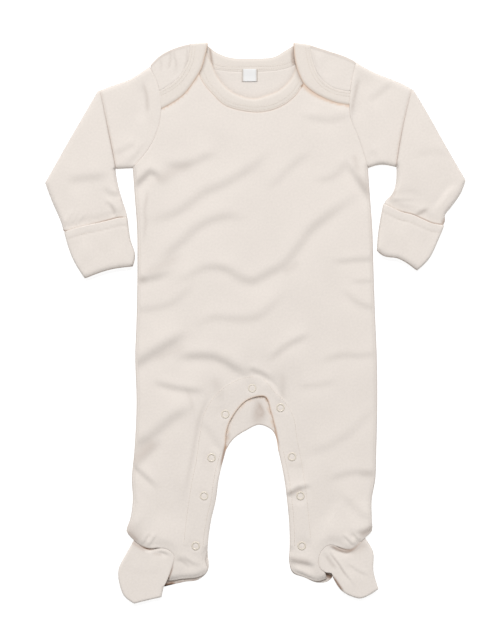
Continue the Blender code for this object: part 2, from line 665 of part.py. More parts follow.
def across_at(curve, y):
    """The point of a curve that runs downwards at height y."""
    return np.array([np.interp(-y, -curve[:, 1], curve[:, 0]), y])


def below_point(curve, start):
    """A curve that runs downwards, from a point of it on."""
    return np.vstack([[start], curve[curve[:, 1] < start[1] - 0.5]])


def raised(plan, height):
    return np.column_stack([plan, np.full(len(plan), float(height))])


def nearest(plan, point):
    return int(np.argmin(np.linalg.norm(plan - point, axis=1)))


def bridge(first, second):
    return [(first[i], first[i + 1], second[i + 1], second[i]) for i in range(len(first) - 1)]


def face_out(obj):
    """Makes neighbouring faces agree on which way they point."""
    work = bmesh.new()
    work.from_mesh(obj.data)
    bmesh.ops.recalc_face_normals(work, faces=work.faces)
    work.to_mesh(obj.data)
    work.free()


def make_front_panel(cream):
    """Front and front legs in one piece."""
    tops = {side: SHOULDERS[side] - (0, SHOULDER_TUCK) for side in SIDES}
    armholes = {}
    neck = NECK_SEAM_FRONT.copy()
    for side, corner in (("left", 0), ("right", -1)):
        tops[side][0] = across_at(ARMHOLES[side], tops[side][0][1])
        armholes[side] = below_point(ARMHOLES[side], tops[side][0])
        tops[side][-1] = (neck[corner][0], tops[side][-1][1])
        neck[corner] = tops[side][-1]
    left, right = FEET["left"], FEET["right"]
    loop = joined(
        tops["left"],
        neck,
        tops["right"][::-1],
        armholes["right"],
        SIDE_SEAMS["right"],
        smooth(right.lip, STEP_HEM),
        smooth(right.arch, STEP_HEM),
        smooth(right.heel, STEP_HEM),
        smooth(inner_leg("right")[::-1], STEP_FRONT),
        smooth(FRONT_CROTCH[::-1], STEP_HEM),
        smooth(inner_leg("left"), STEP_FRONT),
        smooth(left.heel[::-1], STEP_HEM),
        smooth(left.arch[::-1], STEP_HEM),
        smooth(left.lip[::-1], STEP_HEM),
        SIDE_SEAMS["left"][::-1],
        armholes["left"][::-1],
    )
    rounds = [snap_round(snap) for snap in SNAPS]
    rows = ROWS_ROLLED[1:]
    return sheet("front_panel", shrunk(loop, SEAM_GAP), front_surface, cream, rows=rows, marks=rounds)


def snap_round(snap):
    """The centre of a snap and a ring of points round it, for the cloth beneath."""
    turns = np.arange(SNAP_ROUND_SIDES) * 2 * math.pi / SNAP_ROUND_SIDES
    ring = np.column_stack([np.cos(turns), np.sin(turns)]) * SNAP_ROUND
    return np.vstack([(0, 0), ring]) + (snap.x, snap.y)


def make_neck_bands(cream):
    """The front band, and the back band that runs on over both shoulders along the flaps."""
    rows = rungs(FRONT_NECK_SEAM, FRONT_NECK_EDGE, FRONT_BAND_ROWS, front_band_height)
    front = ribbon("front_neck_band", rows, cream, DOUBLE)
    centre = (FLAP_BAND_MID + BAND_LOW_MID) / 2
    top, low = flat(FLAP_BAND_MID), flat(BAND_LOW_MID)
    left, right = (
        rungs(tucked(FLAP_SEAMS_AT[side]), tucked(FLAP_EDGES_AT[side]), FLAP_BAND_ROWS, top, 2 * SEAM_GAP)
        for side in SIDES
    )
    back = rungs(tucked_twice(BACK_NECK_SEAM), tucked_twice(BACK_NECK_EDGE), BACK_BAND_ROWS, low)
    rows = left[::-1] + turned(left[0], centre) + back
    rows += turned(right[0], centre)[::-1] + right
    around = ribbon("back_neck_band", rows, cream, DOUBLE)
    for band in (front, around):
        face_out(band)


def make_sleeve(side, cream):
    """A flattened tube, folded at the elbow so that its lower part lies on the upper one."""
    edges = SLEEVES[side]
    outer = run_of(STEP_TUBE, edges.outer, edges.elbow, edges.lower)
    inner = run_of(STEP_TUBE, edges.under, edges.inner)
    wrist = close_ended(smooth(edges.end, STEP_TUBE))
    loop = shrunk(joined(outer, wrist, inner[::-1], ARMHOLES[side][::-1]), SEAM_GAP)
    crease = smooth(edges.crease, STEP_TUBE)
    cuff_top = smooth(CUFFS[side].top, STEP_TUBE)

    def from_rims(points):
        return np.minimum(distance(points, outer)[0], distance(points, inner)[0])

    def in_cuff(points):
        """1 inside the cuff and 0 up the sleeve."""
        far, _, above = distance(points, cuff_top)
        return 1 - ease((far * above - CUFF_AHEAD) / CUFF_RAMP)

    def rim_height(points):
        return TUBE_EDGE_MID + (SLEEVE_IN_CUFF_EDGE - TUBE_EDGE_MID) * in_cuff(points)

    def low(points):
        height = BACK_MID + (SLEEVE_IN_CUFF_LOW - BACK_MID) * in_cuff(points)
        return height + (rim_height(points) - height) * (1 - ease(from_rims(points) / TUBE_ROLL))

    def high(points):
        far, along, left_of = distance(points, crease)
        past = far * left_of * AWAY[side]
        rise = CREASE_RISE * (CREASE_AT_TOP + (1 - CREASE_AT_TOP) * ease(along))
        rise = rise * ease((past + CREASE_RUN / 2) / CREASE_RUN)
        rise = rise * (1 - CREASE_FADE * ease(past / CREASE_FADE_RUN))
        height = SLEEVE_MID + rise + folded(points, SLEEVE_FOLDS)
        height = height + (SLEEVE_IN_CUFF_HIGH - height) * in_cuff(points)
        rim = rim_height(points)
        return rim + (height - rim) * rolled(from_rims(points), 0, 1, SIDE_ROLL)

    leg = np.gradient(crease, axis=0)
    normal = np.stack([-leg[:, 1], leg[:, 0]], axis=1) / np.linalg.norm(leg, axis=1)[:, None]
    half = normal[1:-1] * CREASE_RUN / 2
    marks = [crease[1:-1] + half, crease[1:-1] - half]
    tube("sleeve_" + side, loop, near_runs(loop, outer, inner), low, high, cream, marks=marks)


def run_of(step, *runs):
    """One run of points through smooth stretches that meet at corners."""
    parts = [smooth(run, step) for run in runs]
    return np.vstack([part[:-1] for part in parts[:-1]] + [parts[-1]])


def near_runs(loop, *runs):
    """Places of the loop's points that come from these runs, from before it was shrunk."""
    gaps = np.linalg.norm(loop[:, None] - np.vstack(runs)[None], axis=2)
    return np.flatnonzero(gaps.min(axis=1) < 3 * SEAM_GAP)


def make_cuff(side, cream):
    """A doubled flattened tube round the end of the sleeve."""
    top, right, end, left = (smooth(run, STEP_TUBE) for run in CUFFS[side])
    loop = joined(close_ended(top), right, close_ended(end), left)
    middle = (CUFF_LOW_MID + CUFF_TOP_MID) / 2

    def spread(points):
        """0 at the folded sides and 1 away from them."""
        far = np.minimum(distance(points, left)[0], distance(points, right)[0])
        return rolled(far, 0, 1, CUFF_ROLL)

    def low(points):
        return middle + (CUFF_LOW_MID - middle) * spread(points)

    def high(points):
        return middle + (CUFF_TOP_MID - middle) * spread(points)

    tube("cuff_" + side, loop, near_runs(loop, left, right), low, high, cream, DOUBLE, rows=ROWS_CUFF)


def make_foot(side, cream):
    """The upper that the toes fill, and the sole that runs on round the heel."""
    edges = FEET[side]
    toe = run_of(STEP_FOOT, *edges.toe)
    gap = 2 * SEAM_GAP
    arch_start = (edges.arch[0][0], edges.arch[0][1] - gap)
    arch_rest = [(x + AWAY[side] * gap, y - gap) for x, y in edges.arch[-2:0:-1]]
    arch = smooth([tuple(toe[-1])] + arch_rest + [arch_start], STEP_FOOT)
    hidden = [(x, y - LIP_GAP) for x, y in edges.lip[-2:0:-1]]
    lip = smooth([tuple(arch[-1])] + hidden + [tuple(toe[0])], STEP_FOOT)

    def puffed(points):
        height = rolled(distance(points, toe)[0], EDGE_MID, FOOT_MID, FOOT_ROLL) + folded(points, FOOT_FOLDS)
        from_lip = distance(points, smooth(edges.lip, STEP_FOOT))[0]
        beneath = 1 - ease((from_lip - LIP_CLEAR) / LIP_RAMP)
        return np.maximum(height + (UNDER_LIP_MID - height) * beneath, EDGE_MID)

    loop = shrunk(joined(toe, arch, lip), UPPER_GAP)
    sheet("foot_upper_" + side, loop, puffed, cream, step=STEP_FOOT, rows=ROWS_ROLLED)
    under = joined(toe, smooth(edges.sole_heel, STEP_FOOT), smooth(edges.sole_seam, STEP_FOOT))
    sheet("foot_sole_" + side, shrunk(under, SOLE_GAP), flat(BACK_MID), cream, step=STEP_BACK)


def make_snap(snap, sand):
    """A ring snap's ring, tilted with the cloth that it sits on."""
    mean = (SNAP_OUTER + SNAP_INNER) / 4
    half = (SNAP_OUTER - SNAP_INNER) / 4
    count = SNAP_PROFILE_SIDES
    points, faces = [], []
    for i in range(SNAP_SIDES):
        turn = 2 * math.pi * i / SNAP_SIDES
        following = (i + 1) % SNAP_SIDES
        for j in range(count):
            angle = 2 * math.pi * (j + 0.5) / count
            out = mean + half * math.cos(angle)
            points.append((out * math.cos(turn), out * math.sin(turn), SNAP_THICK / 2 * math.sin(angle)))
            step = (j + 1) % count
            faces.append((i * count + j, following * count + j, following * count + step, i * count + step))
    obj = add_object(snap.name, points, faces, sand)
    spot = np.array([[snap.x, snap.y], [snap.x + 1, snap.y], [snap.x, snap.y + 1]], float)
    height = front_surface(spot)
    up = Vector((height[0] - height[1], height[0] - height[2], 1.0)).normalized()
    rise = CLOTH / 2 + SNAP_THICK / 2 + LAYER_GAP
    obj.location = (Vector((snap.x, snap.y, height[0])) + up * rise) * MM
    obj.rotation_mode = "QUATERNION"
    obj.rotation_quaternion = Vector((0, 0, 1)).rotation_difference(up)
    face_out(obj)


def make_label(white):
    """A bare label that hangs inside the back neck, its lower end a little proud."""
    across = np.linspace(LABEL_LEFT, LABEL_RIGHT, LABEL_ROWS)
    base = DOUBLE + LAYER_GAP + LABEL_WALL / 2
    rows = []
    for share in np.linspace(0, 1, LABEL_ROWS):
        y = LABEL_TOP + (LABEL_BOTTOM - LABEL_TOP) * share
        plan = np.column_stack([across, np.full(LABEL_ROWS, y)])
        rows.append(raised(plan, base + LABEL_LIFT * share))
    face_out(ribbon("neck_label", rows, white, LABEL_WALL))


def main():
    for obj in list(bpy.data.objects):
        bpy.data.objects.remove(obj)
    cream = material("cream interlock", CREAM)
    make_back_panel(material("cream interlock inside", INNER_CREAM))
    make_front_panel(cream)
    for side in SIDES:
        make_sleeve(side, cream)
        make_cuff(side, cream)
        make_foot(side, cream)
    make_neck_bands(cream)
    make_label(material("woven label", WHITE, 0.7))
    sand = material("painted ring snap", SAND, 0.4)
    for snap in SNAPS:
        make_snap(snap, sand)


main()
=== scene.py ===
"""Footed baby sleepsuit: knitted cloth, seams, stitches, ring snaps, a bare label and a studio.

The suit lies on its back, face up. +X runs across to the right sleeve, +Y up to the neck and +Z
away from the surface. Shapes are worked out in millimetres and become metres as a mesh is made.
"""

import math
from collections import namedtuple
from functools import reduce

import bpy
import numpy as np
from bpy.props import FloatProperty, FloatVectorProperty, PointerProperty
from bpy.types import Operator, Panel, PropertyGroup
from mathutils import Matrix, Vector
from mathutils.geometry import delaunay_2d_cdt
from mathutils.kdtree import KDTree


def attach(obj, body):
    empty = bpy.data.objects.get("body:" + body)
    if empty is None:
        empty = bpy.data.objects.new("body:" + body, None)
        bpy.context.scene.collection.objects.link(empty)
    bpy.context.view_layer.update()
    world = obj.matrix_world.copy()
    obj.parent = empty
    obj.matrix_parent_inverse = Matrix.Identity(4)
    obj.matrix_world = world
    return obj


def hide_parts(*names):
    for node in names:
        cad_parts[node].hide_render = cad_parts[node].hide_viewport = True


bl_info = {
    "name": "Footed Baby Sleepsuit",
    "version": (1, 0, 0),
    "blender": (4, 5, 0),
    "location": "View3D > Sidebar > Sleepsuit",
    "description": "Dresses the sleepsuit's frame in knitted cloth, seams, stitches, snaps and a label",
    "category": "Object",
}

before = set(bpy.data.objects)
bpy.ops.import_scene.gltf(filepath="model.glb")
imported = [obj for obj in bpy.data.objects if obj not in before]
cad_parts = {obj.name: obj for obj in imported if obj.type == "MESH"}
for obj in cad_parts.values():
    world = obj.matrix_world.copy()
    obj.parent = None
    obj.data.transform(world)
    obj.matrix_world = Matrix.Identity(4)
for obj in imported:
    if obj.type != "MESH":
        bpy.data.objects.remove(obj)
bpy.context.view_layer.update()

MM = 0.001
SIDES = ("left", "right")
AWAY = {"left": -1, "right": 1}  # the way out from the middle, along X

# -------- layers, heights of their middles
WALL = 1.1  # a single layer of interlock knit
DOUBLE = 1.9  # a doubled layer, as in the bands and cuffs
SEAM_LAP = 0.14  # how far each piece runs past its seam line, so that two meet in a fine groove

BACK_MID = 0.6
EDGE_MID = 2.3
HEEL_MID = 2.7
FRONT_MID = 5.0
HEM_MID = 3.2
CROTCH_MID = 2.4
UNDER_FLAP_MID = {"left": 3.85, "right": 3.8}
FLAP_MID = 5.5
BAND_LOW_MID = 0.85
FRONT_BAND_MID = 4.2
FRONT_NECK_MID = FRONT_BAND_MID + 0.1  # the front at its neck seam
FRONT_BAND_END_MID = 3.4
FLAP_BAND_MID = 5.1
TURN_RADIUS = (FLAP_MID - BACK_MID) / 2
TUBE_EDGE_MID = 1.8
SLEEVE_MID = 4.6
SLEEVE_IN_CUFF_LOW, SLEEVE_IN_CUFF_EDGE, SLEEVE_IN_CUFF_HIGH = 3.15, 4.0, 4.85
CUFF_LOW_MID = 1.0
CUFF_TOP_MID = 7.0
FOOT_MID = 6.0

ROLL_POWER = 2.4
TURN_SQUARE = 0.55  # below 1, a fold turns sharply at its edge and lies flat beside it
# painted shade on the cloth where it turns over a shoulder fold
TURN_PAINTED_SHADE = 0.3
# How much lower a band's middle lies at its seam and at its brim, and its thickness at its seam and beyond.
BandForm = namedtuple("BandForm", "seam_down brim_down seam_wall wall")
PRESSED = 1.5  # the doubled band pressed flat along the flaps and the back
FRONT_BAND_FORM = BandForm(-0.1, 0.25, WALL, DOUBLE)
FLAP_BAND_FORM = BandForm(-0.25, 0.5, 1.3, PRESSED)
BACK_BAND_FORM = BandForm(0.0, 0.2, PRESSED, PRESSED)
SEAM_RAMP, BRIM_RAMP = 6.5, 3.4
BRIM_WALL = 0.65  # a band's thickness at its brim, drawn thin by the turn of the cloth
BAND_ROWS = (2.4, 5.6)  # where its two rows of stitches run, from its seam
BAND_ROUND, BAND_DRAWN_IN = 0.08, 0.13  # how far it swells, and how far those rows draw it in
# Over these lengths, cloth turns down at an edge or comes level with what it meets.
SIDE_ROLL = 4.5
HEM_ROLL = 8.0
CROTCH_RAMP = 56.0
CUFF_ROLL = 3.2
FOOT_ROLL = 2.1
FOOT_LOW, FOOT_SLOPE = 0.7, 0.035  # the foot starts this much lower at its lip and rises towards the toes
TUBE_ROLL = 5.0
ARCH_BLEND = 12.0  # over this far, the leg comes level with the foot at the seam over the arch
FLAP_AHEAD, FLAP_RAMP = 9.0, 17.0
NECK_RAMP = 32.0
NECK_RISE, NECK_RISE_RUN = 0.4, 12.0  # the back rises to the level of its band
BAND_TOP, BAND_RAMP = 272.0, 34.0
CUFF_AHEAD, CUFF_RAMP = 2.0, 9.0

# -------- outlines, left is -X
SIDE_SEAMS_AT = {  # from the underarms to the ankles
    "left": (
        (-132, 167), (-129.5, 132), (-127.5, 105), (-127, 57), (-128, 0), (-129.3, -32), (-127.9, -90),
        (-130.2, -138), (-133, -170), (-132, -192), (-135, -213), (-139, -225),
    ),
    "right": (
        (122, 167), (124.5, 132), (126.5, 105), (128, 57), (130, 0), (131.4, -32), (132, -90),
        (131, -138), (129.8, -170), (126, -192), (126.2, -213), (126.5, -225),
    ),
}
HEMS_AT = {  # the edges of the inner legs
    "left": ((-31.5, -138), (-39.5, -170), (-42.5, -192), (-47.5, -213), (-49.5, -225), (-51.5, -246)),
    "right": ((25.2, -138), (32, -170), (34.8, -192), (36.8, -213), (37.5, -225), (37.5, -246)),
}
SHOULDERS_AT = {
    "left": ((-114, 276.5), (-102, 288.3), (-84, 297), (-70, 300.6)),
    "right": ((109, 281.3), (98, 286.8), (81, 292.6), (60, 299.3)),
}
ARMHOLES_AT = {
    "left": ((-114, 276.5), (-103, 250), (-102, 222), (-111, 194), (-132, 167)),
    "right": ((109, 281.3), (103, 250), (103, 222), (112, 199), (122, 167)),
}
FLAP_SEAMS_AT = {
    "left": ((-70, 300.6), (-73, 281), (-83, 264), (-103, 250)),
    "right": ((60, 299.3), (63, 281), (70, 265), (82, 254.5), (103, 249.5)),
}
FLAP_EDGES_AT = {
    "left": ((-50.5, 301.8), (-53, 288), (-57.5, 273), (-64.5, 261), (-77.5, 244.5), (-91.5, 234.7),
             (-101, 229.7)),
    "right": ((41, 302), (42, 286), (46, 270), (52.5, 257), (63.5, 247.5), (76.5, 240.5), (89, 236),
              (102, 233.8)),
}
BACK_NECK_SEAM = (
    (-70, 300.6), (-59, 285), (-46, 275), (-30, 272), (-2, 271.5), (25, 273), (40, 277), (52, 286),
    (60, 299.3),
)
BACK_NECK_EDGE = (
    (-50.5, 301.8), (-44.5, 294.6), (-32, 288.6), (-2, 286.4), (21.5, 288.4), (33, 295), (41, 302),
)
FRONT_NECK_SEAM = (
    (-65, 291), (-60, 267), (-53, 254.6), (-46, 247), (-33.5, 235.2), (-14, 228.8), (6, 227.2),
    (25, 231.8), (38, 239.6), (50, 253.5), (56, 270), (57, 288),
)
FRONT_NECK_EDGE = (
    (-51, 291), (-45.5, 278.4), (-40, 266.5), (-34.5, 259), (-28, 252.5), (-20, 247.6), (-9, 243.8),
    (0, 242.8), (12, 246), (25, 251.4), (34.5, 259.4), (40, 267), (43, 276), (43.5, 290),
)
SHOULDER_TUCK = 7.0

SleeveEdges = namedtuple("SleeveEdges", "outer elbow lower under inner end crease")
SLEEVES = {
    "left": SleeveEdges(
        outer=((-114, 276.5), (-137, 262.2), (-153, 256.4), (-170, 250)),
        elbow=((-170, 250), (-182.8, 228), (-198, 202), (-226.8, 151)),
        lower=((-226.8, 151), (-220, 132.5), (-211, 112), (-208, 104), (-206.5, 99), (-202, 96),
               (-200, 90.5)),
        under=((-132, 167), (-151, 166)),
        inner=((-151, 166), (-148.5, 150), (-143.5, 132), (-139, 118), (-138, 113), (-140, 107),
               (-142.5, 103)),
        end=((-200.5, 90.5), (-170, 100), (-142.5, 103)),
        crease=((-168, 250.2), (-158, 201), (-151, 166)),
    ),
    "right": SleeveEdges(
        outer=((109, 281.3), (129, 270.2), (146, 263.4), (160, 257.6), (171.5, 251)),
        elbow=((171.5, 251), (185.5, 228), (200, 202), (227.7, 154)),
        lower=((227.7, 154), (224, 143), (211, 123.5), (205.3, 116), (205, 109.5), (203, 105), (198, 99)),
        under=((122, 167), (135, 170.5), (153, 168)),
        inner=((153, 168), (152.6, 153), (150.8, 144.5), (147, 137.2), (142, 132.5), (139.6, 128.5),
               (141.5, 123), (144, 118)),
        end=((198, 99), (172, 106), (144, 118)),
        crease=((170, 251.8), (160, 209), (153, 168)),
    ),
}
ARM_RUNS = ((80, -70), (32, -135))  # which way the arm runs above its elbow and below it
FLAP_LEVEL, FLAP_LEVEL_RUN = 225.0, 20.0  # above here, the sleeve is level with the flap at its seam
ARMHOLE_RUN = 25.0
CREASE_RISE, CREASE_RUN = 2.6, 1.3
CREASE_AT_TOP = 0.35
CREASE_FADE, CREASE_FADE_RUN = 0.6, 60.0
CREASE_LEAN = 0.7  # how far the fold's edge leans out over the cloth beside it
LEAN_MID, LEAN_REACH, LEAN_CLEAR = 0.6, 0.7, 8.0

CuffEdges = namedtuple("CuffEdges", "top right end left")
CUFFS = {
    "left": CuffEdges(
        top=((-206.3, 97.6), (-186, 104), (-170, 107.2), (-155.5, 110.8), (-146, 113), (-137.5, 113)),
        right=((-137.5, 113), (-134.5, 90), (-129.5, 71), (-132, 60.5)),
        end=((-132, 60.5), (-155, 57.5), (-184, 47.5)),
        left=((-184, 47.5), (-196.5, 68), (-206.3, 97.6)),
    ),
    "right": CuffEdges(
        top=((138.5, 128.5), (147, 124.3), (157, 119.6), (170, 116.2), (182, 110.8), (191, 107),
             (204.8, 105.2)),
        right=((204.8, 105.2), (198, 89), (187, 67.5), (175, 56)),
        end=((175, 56), (155, 69), (138, 72.5), (131.5, 78)),
        left=((131.5, 78), (132.5, 92), (138.5, 128.5)),
    ),
}
CUFF_HEM = 8.4  # how far below its upper edge a cuff's hem is sewn down
CUFF_END_DOWN, CUFF_END_RUN = 1.5, 4.0  # a cuff turns down at its open end
Slit = namedtuple("Slit", "depth start rise end")  # shade where a cuff stands off its sleeve, along its top
SLITS = {"left": Slit(0.62, 0.2, 0.5, 0.97), "right": Slit(0.58, 0.08, 0.3, 1.02)}
SLIT_MID, SLIT_REACH = 0.7, 1.0

FRONT_CROTCH = ((-31.5, -138), (-30, -114), (-22, -98), (-7, -83), (11, -80.5), (17, -96), (25.2, -138))
BACK_CROTCH = ((-31.5, -138), (-23.5, -126), (-9.5, -116.5), (5, -110.5), (18, -116), (25.2, -138))

# Each leg bulges before its lip and turns down at it: the bulge's height and how far back it
# starts and peaks, how far the lip turns down and over what length, and the foot's height there.
Lip = namedtuple("Lip", "bulge back peak down turn under")
LIP_FORMS = {
    "left": Lip(bulge=2.2, back=44.0, peak=10.0, down=2.2, turn=7.0, under=4.2),
    "right": Lip(bulge=2.2, back=40.0, peak=10.0, down=2.0, turn=7.0, under=5.0),
}
UNDER_LIP_CLEAR, UNDER_LIP_RAMP = 0.8, 4.5
FOOT_CLEAR = 6.0  # from the seam over the arch, the foot's folds grow over this far
FootEdges = namedtuple("FootEdges", "lip arch heel toe opening sole_heel sole_seam")
FEET = {
    "left": FootEdges(
        lip=((-139, -225), (-127, -238), (-114, -244), (-106, -243)),
        arch=((-106, -243), (-94, -245), (-87.5, -251), (-88.5, -261), (-94.5, -279)),
        heel=((-94.5, -279), (-88, -278.6), (-81, -277.3), (-73, -276.6), (-62, -275.2), (-54, -271.4),
              (-51.2, -266.8), (-53.4, -258), (-51.5, -246)),
        toe=(
            ((-131, -235.5), (-140, -251), (-147.5, -267), (-146, -284), (-141.5, -295), (-130.5, -303.5)),
            ((-130.5, -303.5), (-116, -300), (-101, -296.5)),
            ((-101, -296.5), (-99, -286)),
        ),
        opening=(),
        sole_heel=((-99, -286), (-77, -280.8), (-60, -277.6), (-51, -268.2), (-50.5, -255)),
        sole_seam=((-50.5, -255), (-90, -246), (-131, -235.5)),
    ),
    "right": FootEdges(
        lip=((126.5, -225), (115, -236), (103, -245), (90, -242)),
        arch=((90, -242), (80, -240), (71.5, -247), (68.5, -258), (70.4, -265.4), (75.4, -269.8),
              (77, -276.8)),
        heel=((77, -276.8), (67.5, -279.6), (53, -274.8), (41.5, -269.8), (37.2, -260), (37.5, -246)),
        toe=(
            ((119, -233), (127.5, -247), (128, -268), (133.5, -287.5)),
            ((133.5, -287.5), (124, -294), (114, -298), (104, -295.8), (94.5, -290.5), (84, -275)),
        ),
        opening=((83, -271), (76, -269.4), (70.4, -265.6)),
        sole_heel=((84, -275), (79, -280), (68, -281.5), (53, -275.6), (41, -271), (37, -255)),
        sole_seam=((37, -255), (80, -243), (119, -233)),
    ),
}
LIP_LAP = 0.4  # how far the foot reaches in under the lip

# -------- folds of the cloth
# A fold is a soft step: the cloth stands high on the left of its path and low on the right of
# it, by `rise` each way, and `spread` is half the step's width.
Fold = namedtuple("Fold", "rise spread path")
FOLD_END = 0.3  # share of its length over which a fold dies away
FOLD_REACH = 4.0  # how many times its spread a fold reaches
FOLD_SLOPE = 1.65
FOLD_CLEAR, FOLD_CLEAR_CUFF = 5.0, 3.0  # from the side seams and from a cuff, folds grow over this far
CRUMPLES = {  # how far it is from crest to crest, and how high they stand
    "front": (58, 0.3),
    "flap": (34, 0.2),
    "back": (22, 0.2),
    "sleeve": (40, 0.25),
    "cuff": (26, 0.3),
    "foot": (24, 0.15),
}
Mound = namedtuple("Mound", "x y across along")
CROTCH_MOUND = Mound(-4, -90, 26, 16)  # where the back rises between the legs
NECK_MOUND = Mound(-2, 256, 30, 10)  # and inside the neck
FRONT_FOLDS = (
    Fold(2.1, 7, ((-150, 134), (-137, 143), (-128, 149.5), (-120, 157), (-113, 163), (-107, 160),
                  (-103, 153), (-101, 146))),
    Fold(1.15, 8.5, ((-104, 166), (-92, 170), (-79, 170), (-64, 174), (-54, 179), (-36, 184))),
    Fold(1.4, 10, ((-131, 108), (-105, 112), (-85, 119), (-66, 132), (-56, 140), (-37, 148), (-17, 159),
                   (2, 172), (24, 196))),
    Fold(1.5, 10, ((-104, 46), (-95, 73), (-76, 90), (-66, 100), (-46, 111), (-30, 115), (-14, 114),
                   (-2, 118))),
    Fold(1.6, 7.5, ((-175, 41), (-150, 43), (-125, 46), (-108, 49), (-94, 54), (-84, 60))),
    Fold(1.8, 10, ((-66, 57), (-46, 59), (-30, 57), (-17, 49), (-3, 45), (12, 52), (31, 63), (46, 81),
                   (60, 100), (78, 115), (99, 130), (124, 150))),
    Fold(0.9, 8, ((-90, 38), (-76, 47), (-64, 55), (-52, 59.5), (-40, 60), (-28, 56), (-16, 48))),
    Fold(0.7, 7, ((60, 153), (70, 154), (80, 156), (90, 162), (97, 172), (101, 184))),
    Fold(2.3, 7, ((96, 178), (104, 166), (114, 150), (123, 138), (132, 120))),
    Fold(0.8, 8, ((10, 141), (22, 151), (32, 162), (42, 171), (51, 178), (64, 187))),
    Fold(0.8, 8, ((44, 226), (62, 221), (84, 219), (108, 228))),
    Fold(0.75, 8, ((-150, 12), (-128, 14), (-106, 16), (-90, 21), (-77, 31), (-66, 45), (-55, 60))),
    Fold(1.0, 9, ((-72, -10), (-56, 0), (-46, 5), (-34, 5), (-22, 4), (-8, 4), (4, 7), (13, 14), (24, 24),
                  (42, 37))),
    Fold(2.8, 11.5, ((-150, -57), (-126, -43), (-105, -30), (-85, -18), (-68, -5))),
    Fold(2.3, 9.5, ((-94, -40), (-74, -36.5), (-59, -36), (-45, -37), (-33, -41.5), (-22, -48.5),
                    (-10.5, -55.5), (0, -66))),
    Fold(1.35, 5.5, ((-10, -48), (2, -52.5), (12, -57), (19, -65))),
    Fold(0.9, 3.2, ((32, -95), (27, -80), (20, -69), (11, -60))),
    Fold(1.25, 7, ((12, -45), (22, -35), (31, -27), (41, -21), (51, -16.5), (62, -9))),
    Fold(1.45, 7, ((-114, -62), (-101, -66.5), (-88, -70), (-76, -72), (-62, -73.5), (-50, -73))),
    Fold(2.1, 11, ((-150, -143), (-133, -134), (-124, -129), (-114, -123.5), (-105, -116.5),
                   (-95, -107.5), (-85, -100), (-75, -94.5), (-62, -86))),
    Fold(0.9, 7, ((-142, -166), (-125, -150), (-114, -139), (-105, -130), (-97, -123))),
    Fold(0.5, 6, ((-79, -205), (-72, -166), (-67, -140), (-62, -114), (-59, -101), (-52, -82), (-42, -62))),
    Fold(1.6, 5, ((-150, -146), (-134, -153), (-124, -161), (-114, -170), (-104, -182))),
    Fold(0.8, 7, ((-62, -102), (-51, -115), (-35, -138), (-28, -150))),
    Fold(0.75, 9, ((46, -146), (60, -140), (80, -133), (90, -127), (100, -121), (109, -113), (119, -102),
                   (140, -84))),
    Fold(0.95, 7, ((74, -172), (89, -166), (99, -163), (109, -161.5), (119, -162.5), (146, -164))),
    Fold(2.2, 4.5, ((28, -188), (37, -185), (46, -181), (62, -175))),
    Fold(0.9, 7, ((90, 38), (99, 32), (109, 23), (119, 18), (129, 16.5), (146, 15))),
    Fold(0.6, 7, ((42, -68), (52, -69), (62, -68), (72, -67), (82, -64), (92, -62))),
    Fold(0.75, 7, ((64, -46), (80, -39), (90, -36), (100, -35), (109, -36), (119, -35), (146, -34))),
    Fold(0.9, 6, ((78, 66), (96, 66.5), (112, 68), (127, 68.5), (145, 70))),
    Fold(0.6, 5, ((100, 43), (114, 44.5), (127, 45), (145, 46))),
    Fold(0.5, 10, ((-92, -160), (-76, -190), (-72, -222), (-78, -236))),
    Fold(0.9, 8, ((90, -180), (104, -196), (118, -208), (138, -214))),
    Fold(0.7, 8, ((96, -186), (84, -204), (78, -226), (84, -238))),
    Fold(0.8, 5, ((-140, -186), (-130, -190), (-126, -204), (-132, -222))),
)
SLEEVE_FOLDS = {
    "left": (
        Fold(1.0, 7, ((-122, 262), (-119, 246), (-117, 224), (-118, 212))),
        Fold(0.7, 6, ((-156, 180), (-144, 186), (-126, 196))),
        Fold(0.8, 5, ((-142, 170), (-136, 174), (-126, 184), (-120, 196))),
        Fold(1.1, 9, ((-206, 151), (-192, 155), (-174, 157), (-156, 160))),
        Fold(0.9, 5, ((-166, 147), (-161, 144.5), (-156.5, 140), (-149, 138.5), (-140, 139))),
        Fold(1.0, 3.2, ((-163, 132), (-157, 128), (-152.5, 123), (-151, 117), (-152, 110))),
        Fold(0.7, 2.4, ((-208, 100), (-203, 108), (-193, 122))),
        Fold(0.7, 2.4, ((-201, 101), (-197, 108), (-187, 121))),
        Fold(0.6, 2.4, ((-194, 103), (-190, 108), (-182, 118))),
    ),
    "right": (
        Fold(1.2, 7, ((106, 214), (107, 234), (109, 256), (112, 274))),
        Fold(0.8, 7, ((120, 236), (129, 244), (142, 254), (152, 262))),
        Fold(0.7, 6, ((122, 186), (128, 184), (132, 174), (132, 168))),
        Fold(0.9, 3.6, ((166, 109), (173, 114.5), (180, 119.5), (188, 124))),
        Fold(1.1, 5, ((218, 152), (209, 143), (200, 131), (191, 118))),
        Fold(0.4, 2.2, ((139, 131), (148, 132), (162, 132.5), (178, 132))),
        Fold(0.3, 6, ((148, 136), (158, 142), (170, 142), (182, 136))),
        Fold(0.5, 9, ((168, 176), (184, 184), (200, 184), (216, 176))),
    ),
}
FOOT_FOLDS = {
    "left": (
        Fold(1.3, 2.8, ((-114, -246.5), (-106, -246.5), (-98, -248), (-91, -252))),
        Fold(0.25, 8, ((-140, -262), (-126, -268), (-110, -268), (-98, -262))),
    ),
    "right": (
        Fold(1.7, 3, ((75, -237), (83, -241.5), (91, -245), (99, -247), (108, -243.5), (120, -232))),
        Fold(0.8, 1.8, ((78, -243), (84, -252), (91, -261), (96, -269), (103, -278), (108, -287))),
        Fold(0.6, 3.6, ((73, -245), (78, -252), (85, -262), (90, -268))),
        Fold(0.5, 3, ((98, -259), (104, -263), (112, -268), (124, -274))),
    ),
}
